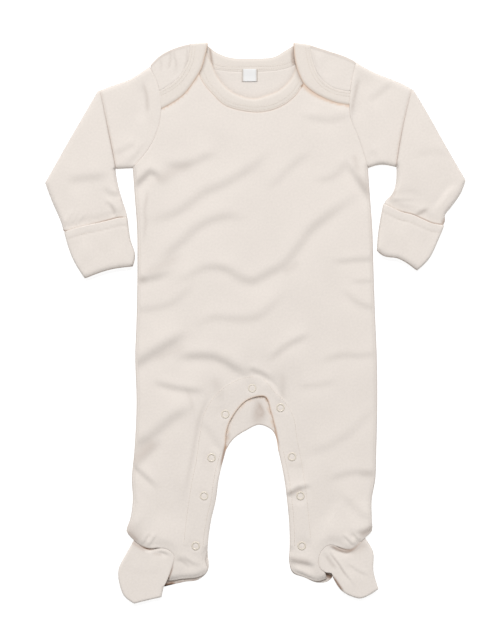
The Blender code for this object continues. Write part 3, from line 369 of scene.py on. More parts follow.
HEEL_FOLDS = (
    Fold(0.6, 4, ((-90, -249), (-80, -254), (-68, -259), (-56, -264))),
    Fold(0.5, 2.6, ((-86, -255), (-79, -257), (-74, -261), (-68, -266))),
    Fold(0.4, 3, ((-80, -250), (-72, -256), (-64, -266))),
    Fold(1.6, 4.8, ((32, -254), (41, -257), (52, -259), (68, -263))),
    Fold(0.7, 2.2, ((40, -266), (48, -269), (56, -273), (66, -277))),
    Fold(0.9, 2.6, ((-122, -241), (-118, -234), (-114, -226))),
    Fold(0.9, 2.4, ((-115, -242), (-110, -234), (-106, -228))),
    Fold(1.1, 2.4, ((94, -228), (99, -233), (104, -238), (109, -242))),
    Fold(1.2, 2.6, ((103, -225), (108, -230), (112, -235), (117, -240))),
    Fold(1.0, 5, ((100, -222), (112, -226), (126, -221), (137, -212))),
)
FLAP_FOLDS = (
    Fold(0.6, 6, ((-76, 300), (-74, 286), (-79, 270), (-92, 258))),
    Fold(0.5, 5, ((-92, 296), (-88, 284), (-92, 268))),
    Fold(0.5, 6, ((74, 262), (72, 276), (76, 292))),
)

# A shade is a stroke of painted shade on cloth that lies deep between others or in the shadow of a fold: how
# deep, half its width, its path.
Shade = namedtuple("Shade", "depth width path")
SHADE_REACH = 3.0  # how many times its width a shade reaches
GROOVE = 0.9  # over this far, the shade in a seam dies away
FRONT_SHADES = (
    Shade(0.16, 4, ((-140, 143), (-128, 150), (-120, 157), (-110, 164))),
    Shade(0.2, 1.8, ((-115, 150), (-117, 134), (-119, 121), (-118, 110), (-119, 96), (-120, 82))),
    Shade(0.22, 5, ((-144, 43), (-133, 44.5), (-124, 46), (-112, 48))),
    Shade(0.15, 2.2, ((-46, -66), (-54, -88), (-60, -103), (-64, -122), (-68, -145), (-73, -170),
                      (-77, -196))),
    Shade(0.13, 2.2, ((-78, -66), (-72, -76), (-68, -88), (-68, -100))),
    Shade(0.22, 4.5, ((134, 116), (125, 136), (117, 150), (108, 164))),
    Shade(0.16, 4, ((29, -50), (30, -62), (30, -76), (28, -90))),
    Shade(0.14, 6, ((-50, -58), (-42, -66), (-38, -76), (-40, -88))),
    Shade(0.27, 8, ((-144, -158), (-126, -144), (-114, -134), (-102, -122))),
    Shade(0.42, 4.5, ((-143, -222), (-138, -226), (-131, -232), (-124, -240))),
    Shade(0.22, 9, ((-146, -214), (-137, -221), (-128, -231), (-120, -240))),
    Shade(0.34, 5, ((108, -228), (118, -227), (126, -222), (134, -216))),
    Shade(0.14, 1.6, ((104, -239), (111, -235), (119, -229), (127, -223))),
    Shade(0.26, 5, ((33, -254), (42, -256), (52, -258), (64, -262))),
    Shade(0.34, 2.2, ((34, -262), (38, -269), (46, -273.5), (56, -277))),
    Shade(0.16, 1.6, ((-91, -252), (-87, -256), (-80, -257))),
    Shade(0.12, 3, ((-86, -252), (-78, -257), (-70, -262))),
    Shade(0.15, 5, ((144, -164), (132, -164), (120, -163), (108, -162))),
    Shade(0.3, 3, ((33, -186), (39, -184), (46, -181), (54, -178))),
    Shade(0.8, 1.2, ((48.5, 252.5), (50.5, 255), (53, 258.5))),
    Shade(0.18, 7, ((-120, 150), (-102, 155), (-84, 165), (-58, 172))),
    Shade(0.15, 6, ((-127, 52), (-112, 56), (-98, 62), (-76, 78))),
    Shade(0.14, 5, ((-115, -42), (-92, -33), (-70, -22))),
    Shade(0.13, 4.5, ((27, 53), (38, 58), (50, 68))),
    Shade(0.75, 1.6, ((-26, -110), (-29, -123), (-33, -138), (-36, -151), (-39, -163))),
    Shade(0.12, 5, ((-60, -150), (-50, -154), (-43, -160))),
    Shade(0.55, 1.2, ((19.5, -104), (22.3, -116), (24.6, -127), (26.6, -138))),
    Shade(0.16, 4, ((32, -152), (42, -154), (56, -152))),
    Shade(0.14, 3, ((-117, 258), (-113, 245), (-109, 232), (-106, 220))),
    Shade(0.2, 3.5, ((106, 184), (109, 172), (112, 160))),
    Shade(0.14, 4, ((-137, -125), (-130, -132), (-125, -141))),
)
BACK_BAND_SHADES = (
    Shade(0.55, 2.6, ((43, 306), (42, 294), (43, 284), (46, 270))),
    Shade(0.62, 1.6, ((40, 297), (40.5, 289), (41, 281), (42, 275))),
    Shade(0.58, 1.6, ((-50, 304), (-48.5, 294), (-47, 284), (-45, 272))),
)
FLAP_SHADES = (
    Shade(0.22, 1.5, ((-93, 299), (-91, 290), (-92, 280), (-95, 270))),
    Shade(0.22, 1.3, ((-87, 299), (-87, 289), (-85, 279), (-87, 270))),
    Shade(0.2, 1.3, ((-74, 302), (-73, 292), (-74, 282), (-79, 272))),
    Shade(0.18, 1.3, ((-103, 288), (-101, 279), (-102, 270))),
    Shade(0.12, 1.5, ((62, 296), (65, 282), (71, 270))),
)
BAND_SHADES = (
    Shade(0.55, 3.4, ((43, 304), (43, 292), (46, 276), (51, 260), (53, 252))),
    Shade(0.3, 2, ((-53, 304), (-52.5, 292), (-56, 278), (-60, 268))),
    Shade(0.58, 1.3, ((-49, 300), (-47, 286), (-43, 274), (-37, 264))),
    Shade(0.8, 1.2, ((49, 254), (51, 256), (53, 258.5))),
)
BACK_SHADES = (
    Shade(0.46, 3.2, ((2, -82), (5, -89), (8, -97), (8, -108))),
    Shade(0.45, 1.4, ((-35, -136), (-31, -127), (-27, -118))),
)
Shadow = namedtuple("Shadow", "depth width lead")  # of a flap's edge on the front
FLAP_SHADOWS = {"left": Shadow(0.30, 1.2, 0.2), "right": Shadow(0.40, 4.5, 0.3)}
UNDER_FLAP_RUN = 2.8  # over this far before a flap's edge, the front band falls into shade
ARCH_SHADES = {"left": 0.62, "right": 0.10}  # how dark the lower end of the seam over each arch is
LipShade = namedtuple("LipShade", "start deepest end middle width")
LIP_SHADES = {"left": LipShade(0.35, 0.95, 0.25, 0.75, 0.2), "right": LipShade(0.25, 0.62, 0.3, 0.75, 0.3)}
LIT_BELOW_ELBOW = {"left": 0.5, "right": 0.95}  # how far the sleeve's outer side is out of shade there
SLEEVE_SHADES = {
    "left": (
        Shade(0.8, 1.8, ((-214, 101), (-208, 99), (-203, 98), (-198, 99))),
        Shade(0.26, 2, ((-121, 264), (-119.5, 255), (-117, 246), (-116, 236), (-116, 222))),
        Shade(0.22, 1.8, ((-157, 128), (-152.5, 123), (-151, 116))),
    ),
    "right": (
        Shade(0.26, 2.4, ((168, 112), (175, 116.5), (182, 120.5), (190, 124))),
        Shade(0.6, 2.4, ((207, 116), (205, 112), (203.5, 108), (201, 104))),
        Shade(0.26, 2, ((154, 144), (151, 140), (146, 134), (141, 130))),
        Shade(0.28, 2, ((113, 268), (110, 255), (107, 243), (105, 232), (104, 220))),
    ),
}
FOOT_SHADES = {
    "left": (
        Shade(0.42, 2.6, ((-138, -232), (-130, -239), (-122, -244), (-114, -248))),
        Shade(0.26, 1.6, ((-112, -249), (-106, -250), (-99, -251))),
    ),
    "right": (
        Shade(0.6, 2, ((76, -238), (84, -242), (91, -245.5), (99, -247.5), (106, -245), (114, -239))),
        Shade(0.26, 5, ((98, -247), (106, -247), (114, -243), (122, -234))),
        Shade(0.24, 1.2, ((78, -244), (84, -253), (91, -262), (96, -270), (103, -279))),
        Shade(0.2, 2.6, ((75, -249), (79, -255), (84, -262), (88, -267))),
        Shade(0.8, 1.4, ((82, -271), (87, -278), (91, -284), (97, -292))),
        Shade(0.35, 1.2, ((103, -296.5), (109, -297.5), (116, -298))),
    ),
}
SOLE_SHADES = {
    "left": (
        Shade(1.0, 3.4, ((-110, -290), (-100, -286), (-92, -283.5), (-82, -281))),
        Shade(0.62, 1.4, ((-96, -280), (-82, -281), (-68, -280), (-56, -274))),
    ),
    "right": (Shade(0.85, 3.4, ((69, -270.5), (75, -271.5), (81, -274.5), (92, -280))),),
}

# -------- trims
Snap = namedtuple("Snap", "name x y sunk")
SNAPS = (
    Snap("snap_crotch", -3, -71, 0.45),
    Snap("snap_left_1", -32, -99, 0.2),
    Snap("snap_left_2", -47, -146, 0.1),
    Snap("snap_left_3", -55, -187, 0.1),
    Snap("snap_left_4", -64, -241, 0.0),
    Snap("snap_right_1", 27.5, -92, 0.1),
    Snap("snap_right_2", 40, -145, 0.1),
    Snap("snap_right_3", 49, -187, 0.0),
    Snap("snap_right_4", 50.5, -241, 0.0),
)
SNAP_FLAT = 6.0  # cloth lies even this far round a snap
SNAP_DENT, SNAP_RING = 0.35, 1.6  # how deep the ring presses the cloth in, and over what width
SNAP_SIDES, SNAP_PROFILE_SIDES = 40, 10
LABEL_LEFT, LABEL_RIGHT, LABEL_TOP, LABEL_BOTTOM = -14.0, 2.5, 274.0, 261.0
LABEL_WALL = 0.5
LABEL_SHADE = (0.45, 0.36, 0.28, 1)  # its colour in shade
WEFT, WARP = 0.00028, 0.0005  # from thread to thread of its weave, in metres
LABEL_DROP = 0.35  # how much lower its lower end lies, off the band

# A stitch's thread from end to end: how far along, how wide and how high, as shares of its size.
STITCH_PROFILE = ((0, 0.35, -0.28), (0.18, 1, 0), (0.5, 1.05, 0.1), (0.82, 1, 0), (1, 0.35, -0.28))
STITCH_SHARE = 0.82  # how much of its pitch a stitch fills
STITCH_SIDES = 6
# How far a thread's middle stands above the cloth.
BAND_THREAD_RISE, FRONT_THREAD_RISE = 0.05, 0.06

PLACKETS = {  # where the doubled edge of each inner leg is sewn down, from the crotch to the ankle
    "left": ((4, -58), (-12, -60), (-34, -71), (-48, -86), (-55, -99), (-59, -118), (-63, -146),
             (-69, -178), (-73, -205), (-77, -240)),
    "right": ((4, -58), (12, -64), (19, -73), (33, -87), (41.5, -102), (45, -124), (50, -150), (54.5, -178),
              (57.5, -205), (60, -236)),
}
PLACKET_STEP, PLACKET_RAMP = 0.35, 1.6  # the front's rise on to it and how long that is
PLACKET_ROW = 5.0  # from the inner leg's edge to its row of stitches

# -------- how finely meshes are cut
STEP_FRONT, STEP_BACK, STEP_TUBE, STEP_FOOT, STEP_BAND = 2.4, 4.0, 2.2, 1.3, 2.0
Area = namedtuple("Area", "left low right high")
FEET_AREAS = (Area(-145, -285, -48, -212), Area(32, -285, 140, -208))
FINE_AREAS = FEET_AREAS + (Area(-45, -100, 45, -42), Area(-140, 130, -98, 182))
STEP_FINE = 1.5
FINE_CLEAR = 4.6  # fine points keep this far from an outline and its own rows
STEP_CURVE = 5.0  # along the curves that heights are measured from
STEP_LENGTH = 0.5  # along a curve whose length is measured
GRID_CLEAR = 0.62
ROWS_EDGE = (0.5, 1.2, 2.1)  # rows of points this far in from an outline
ROWS_SEAM = (0.5, 1.2, 2.0, 2.7, 3.3, 3.9)
SIDE_SEAM_IN = 3.3  # where the side seams' allowance shows through as a line
SIDE_SEAM_DIP, SIDE_SEAM_REACH = 0.3, 0.8
RIM_ANGLES = (50, 0, -50)  # rows round a cloth's cut or folded edge, in degrees
TURN_STEPS = 8
BAND_ACROSS = 15

Box = namedtuple("Box", "width length")


# -------- plane geometry
def smooth(points, step):
    """Points about `step` apart on the smooth curve that runs through the given ones."""
    given = np.array(points, float)
    if len(given) == 2:
        count = max(1, round(float(np.linalg.norm(given[1] - given[0])) / step))
        return given[0] + (given[1] - given[0]) * np.linspace(0, 1, count + 1)[:, None]
    spans = np.linalg.norm(np.diff(given, axis=0), axis=1)
    slopes = np.diff(given, axis=0) / spans[:, None]
    weight = spans[:-1, None] / (spans[:-1] + spans[1:])[:, None]
    middle = slopes[:-1] * (1 - weight) + slopes[1:] * weight
    ends = (1.5 * slopes[0] - 0.5 * middle[0], 1.5 * slopes[-1] - 0.5 * middle[-1])
    tangents = np.vstack([ends[0], middle, ends[1]])
    parts = []
    for i, span in enumerate(spans):
        count = max(1, round(float(span) / step))
        t = np.linspace(0, 1, count + 1)[: count + (i == len(spans) - 1), None]
        parts.append(
            (2 * t**3 - 3 * t**2 + 1) * given[i]
            + (t**3 - 2 * t**2 + t) * span * tangents[i]
            + (3 * t**2 - 2 * t**3) * given[i + 1]
            + (t**3 - t**2) * span * tangents[i + 1]
        )
    return np.vstack(parts)


def lengths_of(run):
    return np.concatenate([[0], np.cumsum(np.linalg.norm(np.diff(run, axis=0), axis=1))])


def at_lengths(run, at):
    """Points of a run at given lengths along it."""
    lengths = lengths_of(run)
    return np.column_stack([np.interp(at, lengths, run[:, k]) for k in range(run.shape[1])])


def evenly(points, count, trim=0.0):
    """`count` evenly spaced points along the smooth curve through some, less `trim` at its end."""
    fine = smooth(points, STEP_LENGTH)
    return at_lengths(fine, np.linspace(0, lengths_of(fine)[-1] - trim, count))


def joined(*runs):
    """One closed loop, counter-clockwise, from runs that meet end to end."""
    loop = np.vstack([run[:-1] for run in runs])
    area = np.sum(loop[:, 0] * np.roll(loop[:, 1], -1) - loop[:, 1] * np.roll(loop[:, 0], -1))
    return loop if area > 0 else loop[::-1]


def distance(points, path):
    """How far each point is from a path, how far along it (0 to 1) and on which side (+1 is left)."""
    points, path = np.asarray(points, float), np.asarray(path, float)
    starts, legs = path[:-1], np.diff(path, axis=0)
    lengths = np.linalg.norm(legs, axis=1)
    offset = points[:, None, :] - starts[None]
    share = np.clip(np.sum(offset * legs, axis=2) / lengths**2, 0, 1)
    apart = offset - share[..., None] * legs
    far = np.linalg.norm(apart, axis=2)
    nearest = np.argmin(far, axis=1)
    rows = np.arange(len(points))
    before = np.concatenate([[0], np.cumsum(lengths)])
    along = (before[nearest] + share[rows, nearest] * lengths[nearest]) / before[-1]
    leg, off = legs[nearest], offset[rows, nearest]
    side = np.sign(leg[:, 0] * off[:, 1] - leg[:, 1] * off[:, 0])
    return far[rows, nearest], along, side


def away(points, path):
    """How far each point is from a path."""
    return distance(points, path)[0]


def inside(points, loop):
    """Which points lie inside a closed loop."""
    ax, ay = loop[:, 0], loop[:, 1]
    bx, by = np.roll(ax, -1), np.roll(ay, -1)
    rise = np.where(by == ay, 1e-9, by - ay)
    found = []
    for part in np.array_split(points, max(1, len(points) // 4000)):
        x, y = part[:, 0, None], part[:, 1, None]
        crosses = (ay > y) != (by > y)
        found.append(np.sum(crosses & (x < ax + (y - ay) * (bx - ax) / rise), axis=1) % 2 == 1)
    return np.concatenate(found)


def closed(loop):
    return np.vstack([loop, loop[:1]])


def unit(vectors, least=0.0):
    """Vectors brought to length 1, but for those shorter than `least`."""
    return vectors / np.maximum(np.linalg.norm(vectors, axis=1)[:, None], least)


def left_normals(legs):
    """The unit normal on the left of each leg."""
    return unit(np.stack([-legs[:, 1], legs[:, 0]], axis=1))


def normals_of(run):
    """The unit normal of an open run at each point, on its left."""
    return left_normals(np.gradient(run, axis=0))


def inset(loop, depth):
    """The loop's points moved in by depth, without those that would come nearer than that to it."""
    moved = loop + left_normals(np.roll(loop, -1, axis=0) - np.roll(loop, 1, axis=0)) * depth
    return moved[(away(moved, closed(loop)) > 0.9 * depth) & inside(moved, loop)]


def shrunk(loop, depth):
    """A closed loop with all its points moved in by a small depth, round its corners too."""
    before = left_normals(loop - np.roll(loop, 1, axis=0))
    middle = unit(before + left_normals(np.roll(loop, -1, axis=0) - loop), 1e-6)
    lean = np.clip(np.sum(middle * before, axis=1), 0.5, 1)
    return loop + middle * (depth / lean)[:, None]


def ease(t):
    """A soft step from 0 to 1."""
    t = np.clip(t, 0, 1)
    return t * t * (3 - 2 * t)


def fade(t):
    """A soft step from 1 to 0."""
    return 1 - ease(t)


def blend(first, second, share):
    """The first value brought towards the second by a share."""
    return first + (second - first) * share


def bell(t):
    return np.exp(-(t**2))


def rolled(far, low, high, reach):
    """Height of cloth that bends down from high to low at its edge, over the last `reach`."""
    t = np.clip(far / reach, 0, 1)
    return low + (high - low) * (1 - (1 - t) ** ROLL_POWER)


def near_strokes(points, strokes, step, reach):
    """Each fold or shade near some points: which, how far from them, on which side and how whole."""
    for stroke in strokes:
        path = smooth(stroke.path, step)
        margin = reach * stroke[1]
        near = np.all((points > path.min(axis=0) - margin) & (points < path.max(axis=0) + margin), axis=1)
        if near.any():
            far, along, side = distance(points[near], path)
            yield stroke, near, far, side, ease(np.minimum(along, 1 - along) / FOLD_END)


def folded(points, folds):
    """The sum of all the soft steps, each dying away across and at its ends."""
    total = np.zeros(len(points))
    for fold, near, far, side, whole in near_strokes(points, folds, STEP_CURVE, FOLD_REACH):
        t = far * side / fold.spread
        whole = whole * np.clip(1 - (t / FOLD_REACH) ** 2, 0, 1) ** 2
        total[near] += fold.rise * whole * FOLD_SLOPE * t * (1 + t**2) ** -1.5
    return total


def shaded(points, shades):
    """The deepest of the strokes of shade at each point, each fading across and at its ends."""
    painted_shade = np.zeros(len(points))
    for shade, near, far, _, whole in near_strokes(points, shades, STEP_CURVE / 2, SHADE_REACH):
        painted_shade[near] = np.maximum(painted_shade[near], shade.depth * whole * bell(far / shade.width))
    return painted_shade


def groove(points, path, depth, reach):
    """Shade along a path, `depth` deep on it and dying away over `reach`."""
    return depth * bell(away(points, path) / reach)


def deepest(*tints):
    """The deepest of several shades at each point."""
    return reduce(np.maximum, tints)


def sharp(share):
    """A share of a fold's half width or height, drawn out to its edge."""
    return math.copysign(abs(share) ** TURN_SQUARE, share)


def crumple(points, where):
    """Slight unevenness of limp cloth: slow waves that cross each other."""
    size, height = CRUMPLES[where]
    x, y = points[:, 0] / size, points[:, 1] / size
    waves = (
        np.sin(2 * math.pi * (0.81 * x + 0.36 * y) + 1.3 * np.sin(2 * math.pi * 0.31 * y))
        + np.sin(2 * math.pi * (-0.42 * x + 0.77 * y) + 1.1 * np.sin(2 * math.pi * 0.27 * x + 2.0))
        + 0.7 * np.sin(2 * math.pi * (1.31 * x - 0.55 * y) + 0.9)
    )
    return height * waves / 2.7


# -------- outlines as curves
def edge(points, step=STEP_CURVE):
    return smooth(points, step)


def tucked(points):
    """A run whose first point moves in from the outside of a shoulder fold to where its bend starts."""
    return [(points[0][0], points[0][1] - TURN_RADIUS)] + list(points[1:])


def tucked_twice(points):
    """A run from one shoulder fold to the other, tucked at both."""
    return tucked(tucked(points)[::-1])[::-1]


SIDE_SEAMS = {side: edge(SIDE_SEAMS_AT[side]) for side in SIDES}
HEMS = {side: edge(HEMS_AT[side]) for side in SIDES}
ARMHOLES = {side: edge(ARMHOLES_AT[side]) for side in SIDES}
FLAP_EDGES = {side: edge(FLAP_EDGES_AT[side]) for side in SIDES}
LIPS = {side: edge(FEET[side].lip, 2.0) for side in SIDES}
HEELS = {side: edge(FEET[side].heel, 2.0) for side in SIDES}
ARCHES = {side: edge(FEET[side].arch, 2.0) for side in SIDES}
CROTCH = edge(FRONT_CROTCH, 3.0)
NECK_SEAM = edge(FRONT_NECK_SEAM, 3.0)
PLACKET_LINES = {side: edge(PLACKETS[side]) for side in SIDES}


# -------- heights of the layers
def past_flap(points, side):
    """How far each point lies under a shoulder flap; negative on the chest."""
    far, _, left_of = distance(points, FLAP_EDGES[side])
    return far * left_of * AWAY[side]


def lip_bulge(points, side):
    """How far the leg's end stands up before its lip and turns down at it."""
    form = LIP_FORMS[side]
    far = away(points, LIPS[side])
    bulge = form.bulge * ease((form.back - far) / (form.back - form.peak))
    return bulge - form.down * (1 - np.clip(far / form.turn, 0, 1)) ** 1.5


def within_placket(points, side):
    """How far inside a leg's doubled edge each point lies; negative on the single cloth."""
    middle = len(CROTCH) // 2
    arch = CROTCH[: middle + 1][::-1] if side == "left" else CROTCH[middle:]
    area = np.vstack([PLACKET_LINES[side], HEMS[side][::-1], arch[::-1]])
    far = away(points, PLACKET_LINES[side])
    return np.where(inside(points, area), far, -far)


def from_sides(points):
    """How far each point is from the nearer side seam."""
    return np.minimum(*(away(points, SIDE_SEAMS[side]) for side in SIDES))


def front_height(points):
    """Middle of the front panel: down at its sides, low under the flaps, raised at the ankles."""
    from_side = from_sides(points)
    height = rolled(from_side, EDGE_MID, FRONT_MID, SIDE_ROLL)
    for side in SIDES:
        height = np.minimum(height, rolled(away(points, HEMS[side]), HEM_MID, FRONT_MID, HEM_ROLL))
    height = np.minimum(height, blend(CROTCH_MID, FRONT_MID, ease(away(points, CROTCH) / CROTCH_RAMP)))
    height += (folded(points, FRONT_FOLDS) + crumple(points, "front")) * ease(from_side / FOLD_CLEAR)
    height -= SIDE_SEAM_DIP * bell((from_side - SIDE_SEAM_IN) / SIDE_SEAM_REACH)
    for side in SIDES:
        height += PLACKET_STEP * ease(0.5 + within_placket(points, side) / PLACKET_RAMP)
        height += lip_bulge(points, side) * ease(from_side / SIDE_ROLL + 0.3)
        height = blend(height, FOOT_MID, fade(away(points, ARCHES[side]) / ARCH_BLEND))
        height = blend(height, HEEL_MID, fade(away(points, HEELS[side]) / HEM_ROLL) ** 2)
    height += folded(points, HEEL_FOLDS)
    height = blend(height, FRONT_NECK_MID, fade(away(points, NECK_SEAM) / NECK_RAMP))
    for side in SIDES:
        ahead = FLAP_AHEAD - past_flap(points, side)
        height = blend(height, UNDER_FLAP_MID[side], fade(ahead / FLAP_RAMP))
    return np.maximum(height, EDGE_MID - 0.4)


def front_surface(points):
    """The front with its cloth even under each snap and pressed in by the ring."""
    height = front_height(points)
    for snap in SNAPS:
        centre = np.array([[snap.x, snap.y]], float)
        far = np.linalg.norm(points - centre, axis=1)
        near = far < 2 * SNAP_FLAT
        far = far[near]
        height[near] = blend(height[near], front_height(centre)[0], fade((far - SNAP_FLAT) / SNAP_FLAT))
        height[near] -= SNAP_DENT * bell((snap_mean() - far) / SNAP_RING)
    return height


def seam_dip(points, *lines, depth=0.35, reach=1.5):
    """How far cloth turns down towards the seams that it is sewn at."""
    return deepest(*(depth * fade(away(points, line) / reach) for line in lines))


def snap_mean():
    trims = bpy.context.scene.sleepsuit_trims
    return (trims.ring_outer + trims.ring_inner) / 4 / MM


def front_band_height(points):
    """The front neck band, level with the front at its seam and low under the flaps."""
    return blend(FRONT_BAND_END_MID, FRONT_BAND_MID, ease((BAND_TOP - points[:, 1]) / BAND_RAMP))


def flat(height):
    return lambda points: np.full(len(points), float(height))


# -------- meshes
def hex_grid(low, high, step):
    """Points of a triangular grid over a box."""
    columns = np.arange(low[0], high[0], step)
    lines = np.arange(low[1], high[1], step * math.sqrt(3) / 2)
    return np.array([(x + step / 2 * (j % 2), y) for j, y in enumerate(lines) for x in columns])


def fill(loop, step, rows=(), marks=()):
    """Points and triangles over the area inside a loop, and each loop point's place in them."""
    marks = [np.array(mark, float) for mark in marks if len(mark)]
    fixed = np.vstack([loop] + [inset(loop, depth) for depth in rows] + marks)
    start = loop.min(axis=0) + (step / 2, step * math.sqrt(3) / 4)
    grid = hex_grid(start, loop.max(axis=0), step)
    grid = grid[inside(grid, loop)]
    tree = KDTree(len(fixed))
    for i, (x, y) in enumerate(fixed):
        tree.insert((x, y, 0), i)
    tree.balance()
    clear = [tree.find((x, y, 0))[2] > GRID_CLEAR * step for x, y in grid]
    points = [Vector(point) for point in np.vstack([fixed, grid[np.array(clear)]])]
    rim = [(i, (i + 1) % len(loop)) for i in range(len(loop))]
    made, _, faces, origins, _, _ = delaunay_2d_cdt(points, rim, [], 1, 1e-5)
    place = {source: index for index, sources in enumerate(origins) for source in sources}
    plan = np.array([tuple(point) for point in made])
    return plan, [tuple(face) for face in faces], [place[i] for i in range(len(loop))]


def fine_points(loop, areas, step):
    """Closer points in some areas of a loop, clear of its rim."""
    found = []
    for area in areas:
        grid = hex_grid((area.left, area.low), (area.right, area.high), step)
        grid = grid[inside(grid, loop)]
        found.append(grid[away(grid, closed(loop)) > FINE_CLEAR])
    return found


def point_normals(points, faces):
    """Unit normals at the points, each face weighted by its area."""
    tris = np.array([(face[0], face[k], face[k + 1]) for face in faces for k in range(1, len(face) - 1)])
    a, b, c = (points[tris[:, k]] for k in range(3))
    normals = np.zeros_like(points)
    for k in range(3):
        np.add.at(normals, tris[:, k], np.cross(b - a, c - a))
    return unit(normals, 1e-12)


def rim_edges(faces):
    """The edges that one face alone has, each in that face's direction."""
    directed = {(face[k], face[(k + 1) % len(face)]) for face in faces for k in range(len(face))}
    return [(a, b) for a, b in directed if (b, a) not in directed]


def shell(name, points, faces, wall, finish, painted_shade, knit, warm=None):
    """A sheet of points made into cloth with rounded edges, `wall` thick everywhere or at each point.

    Its painted shade says how deep in shade each point's cloth lies, from 0 to 1, and darkens its colour
    there;
    `knit` gives each point's place on the flat cloth, so that the knit's columns follow it. `warm` says how
    much light reaches it only from the cloth around it, and is painted into its colour as warm bounced light.
    """
    points = np.asarray(points, float)
    count = len(points)
    half = np.broadcast_to(np.asarray(wall, float) / 2, (count,))[:, None]
    normals = point_normals(points, faces)
    rim = sorted(rim_edges(faces))
    outward = np.zeros_like(points)
    for a, b in rim:
        out = np.cross(points[b] - points[a], normals[a] + normals[b])
        outward[a] += out
        outward[b] += out
    on_rim = sorted({i for pair in rim for i in pair})
    up, out = normals[on_rim], outward[on_rim]
    out = unit(out - up * np.sum(out * up, axis=1)[:, None], 1e-12)
    layers = [points + normals * half, points - normals * half]
    for angle in RIM_ANGLES:
        turn = math.radians(angle)
        layers.append(points[on_rim] + half[on_rim] * (up * math.sin(turn) + out * math.cos(turn)))
    quads = [tuple(face) for face in faces] + [tuple(count + i for i in reversed(face)) for face in faces]
    order = {i: 2 * count + k for k, i in enumerate(on_rim)}
    for a, b in rim:
        round_a, round_b = (
            [i] + [order[i] + k * len(on_rim) for k in range(len(RIM_ANGLES))] + [count + i] for i in (a, b)
        )
        for k in range(len(RIM_ANGLES) + 1):
            quads.append((round_b[k], round_a[k], round_a[k + 1], round_b[k + 1]))
    repeat = np.concatenate([np.arange(count), np.arange(count)] + [on_rim] * len(RIM_ANGLES)).astype(int)
    obj = add_object(name, np.vstack(layers), quads, finish)
    store(obj.data, "painted_shade", painted_shade[repeat])
    store(obj.data, "knit", np.column_stack([knit[repeat] * MM, np.zeros(len(repeat))]))
    if warm is not None:
        store(obj.data, "warm", warm[repeat])
    return obj


def store(mesh, name, values):
    """Keeps a number or a vector for each point of a mesh, for its material to read."""
    kind, key = ("FLOAT", "value") if values.ndim == 1 else ("FLOAT_VECTOR", "vector")
    layer = mesh.attributes.new(name, kind, "POINT")
    layer.data.foreach_set(key, values.astype(np.float32).ravel())


def add_object(name, points, faces, finish):
    """A smooth mesh object from points in millimetres."""
    mesh = bpy.data.meshes.new(name)
    mesh.from_pydata((np.asarray(points, float) * MM).tolist(), [], faces)
    mesh.validate()
    mesh.materials.append(finish)
    mesh.shade_smooth()
    obj = bpy.data.objects.new(name, mesh)
    bpy.context.scene.collection.objects.link(obj)
    return obj


def tube(name, loop, shared, low, high, finish, wall, painted_shade, knit, marks=(), shift=None):
    """A flattened tube: two layers over one outline, joined along the loop points in `shared`."""
    plan, faces, places = fill(loop, STEP_TUBE, ROWS_EDGE, marks)
    free = ~np.isin(np.arange(len(plan)), [places[i] for i in shared])
    lower, upper = low(plan), high(plan)
    top = plan if shift is None else plan + shift(plan)
    points = np.column_stack([top, np.where(free, upper, (lower + upper) / 2)])
    points = np.vstack([points, np.column_stack([plan, lower])[free]])
    twins = {i: len(plan) + n for n, i in enumerate(np.flatnonzero(free))}
    under = [tuple(twins.get(i, i) for i in reversed(face)) for face in faces]
    shade = np.concatenate([painted_shade(plan), np.zeros(free.sum())])
    cloth = knit(plan)
    return shell(name, points, list(faces) + under, wall, finish, shade, np.vstack([cloth, cloth[free]]))


def grid_faces(rows):
    """Quads between rows of points, each row running across, that face up."""
    across = len(rows[0])
    starts = [i * across + j for i in range(len(rows) - 1) for j in range(across - 1)]
    return [(a + across, a + across + 1, a + 1, a) for a in starts]


def turned_knit(plan, origin, direction):
    """Places on cloth whose knit columns run along a direction."""
    x, y = np.array(direction, float) / np.linalg.norm(direction)
    moved = plan - origin
    return np.column_stack([moved @ (y, -x), moved @ (x, y)])


# -------- shader nodes
def arithmetic(operation, swapped=False):
    """One of Python's operators, made to add a Math node."""

    def apply(self, other):
        return self.maths(operation, *((other, self) if swapped else (self, other)))

    return apply


class Socket:
    """A socket of a node tree; arithmetic on it adds Math nodes."""

    def __init__(self, tree, socket):
        self.tree = tree
        self.socket = socket

    def maths(self, operation, *values):
        return self.tree.node("ShaderNodeMath", {"operation": operation}, dict(enumerate(values)))[0]

    __add__ = __radd__ = arithmetic("ADD")
    __sub__ = arithmetic("SUBTRACT")
    __rsub__ = arithmetic("SUBTRACT", True)
    __mul__ = __rmul__ = arithmetic("MULTIPLY")
    __truediv__ = arithmetic("DIVIDE")
    __pow__ = arithmetic("POWER")

    def __abs__(self):
        return self.maths("ABSOLUTE", self)

    def fraction(self):
        return self.maths("FRACT", self)

    def wave(self):
        """The cosine of the value taken as turns, from 0 to 1."""
        return self.maths("COSINE", self * (2 * math.pi)) * 0.5 + 0.5


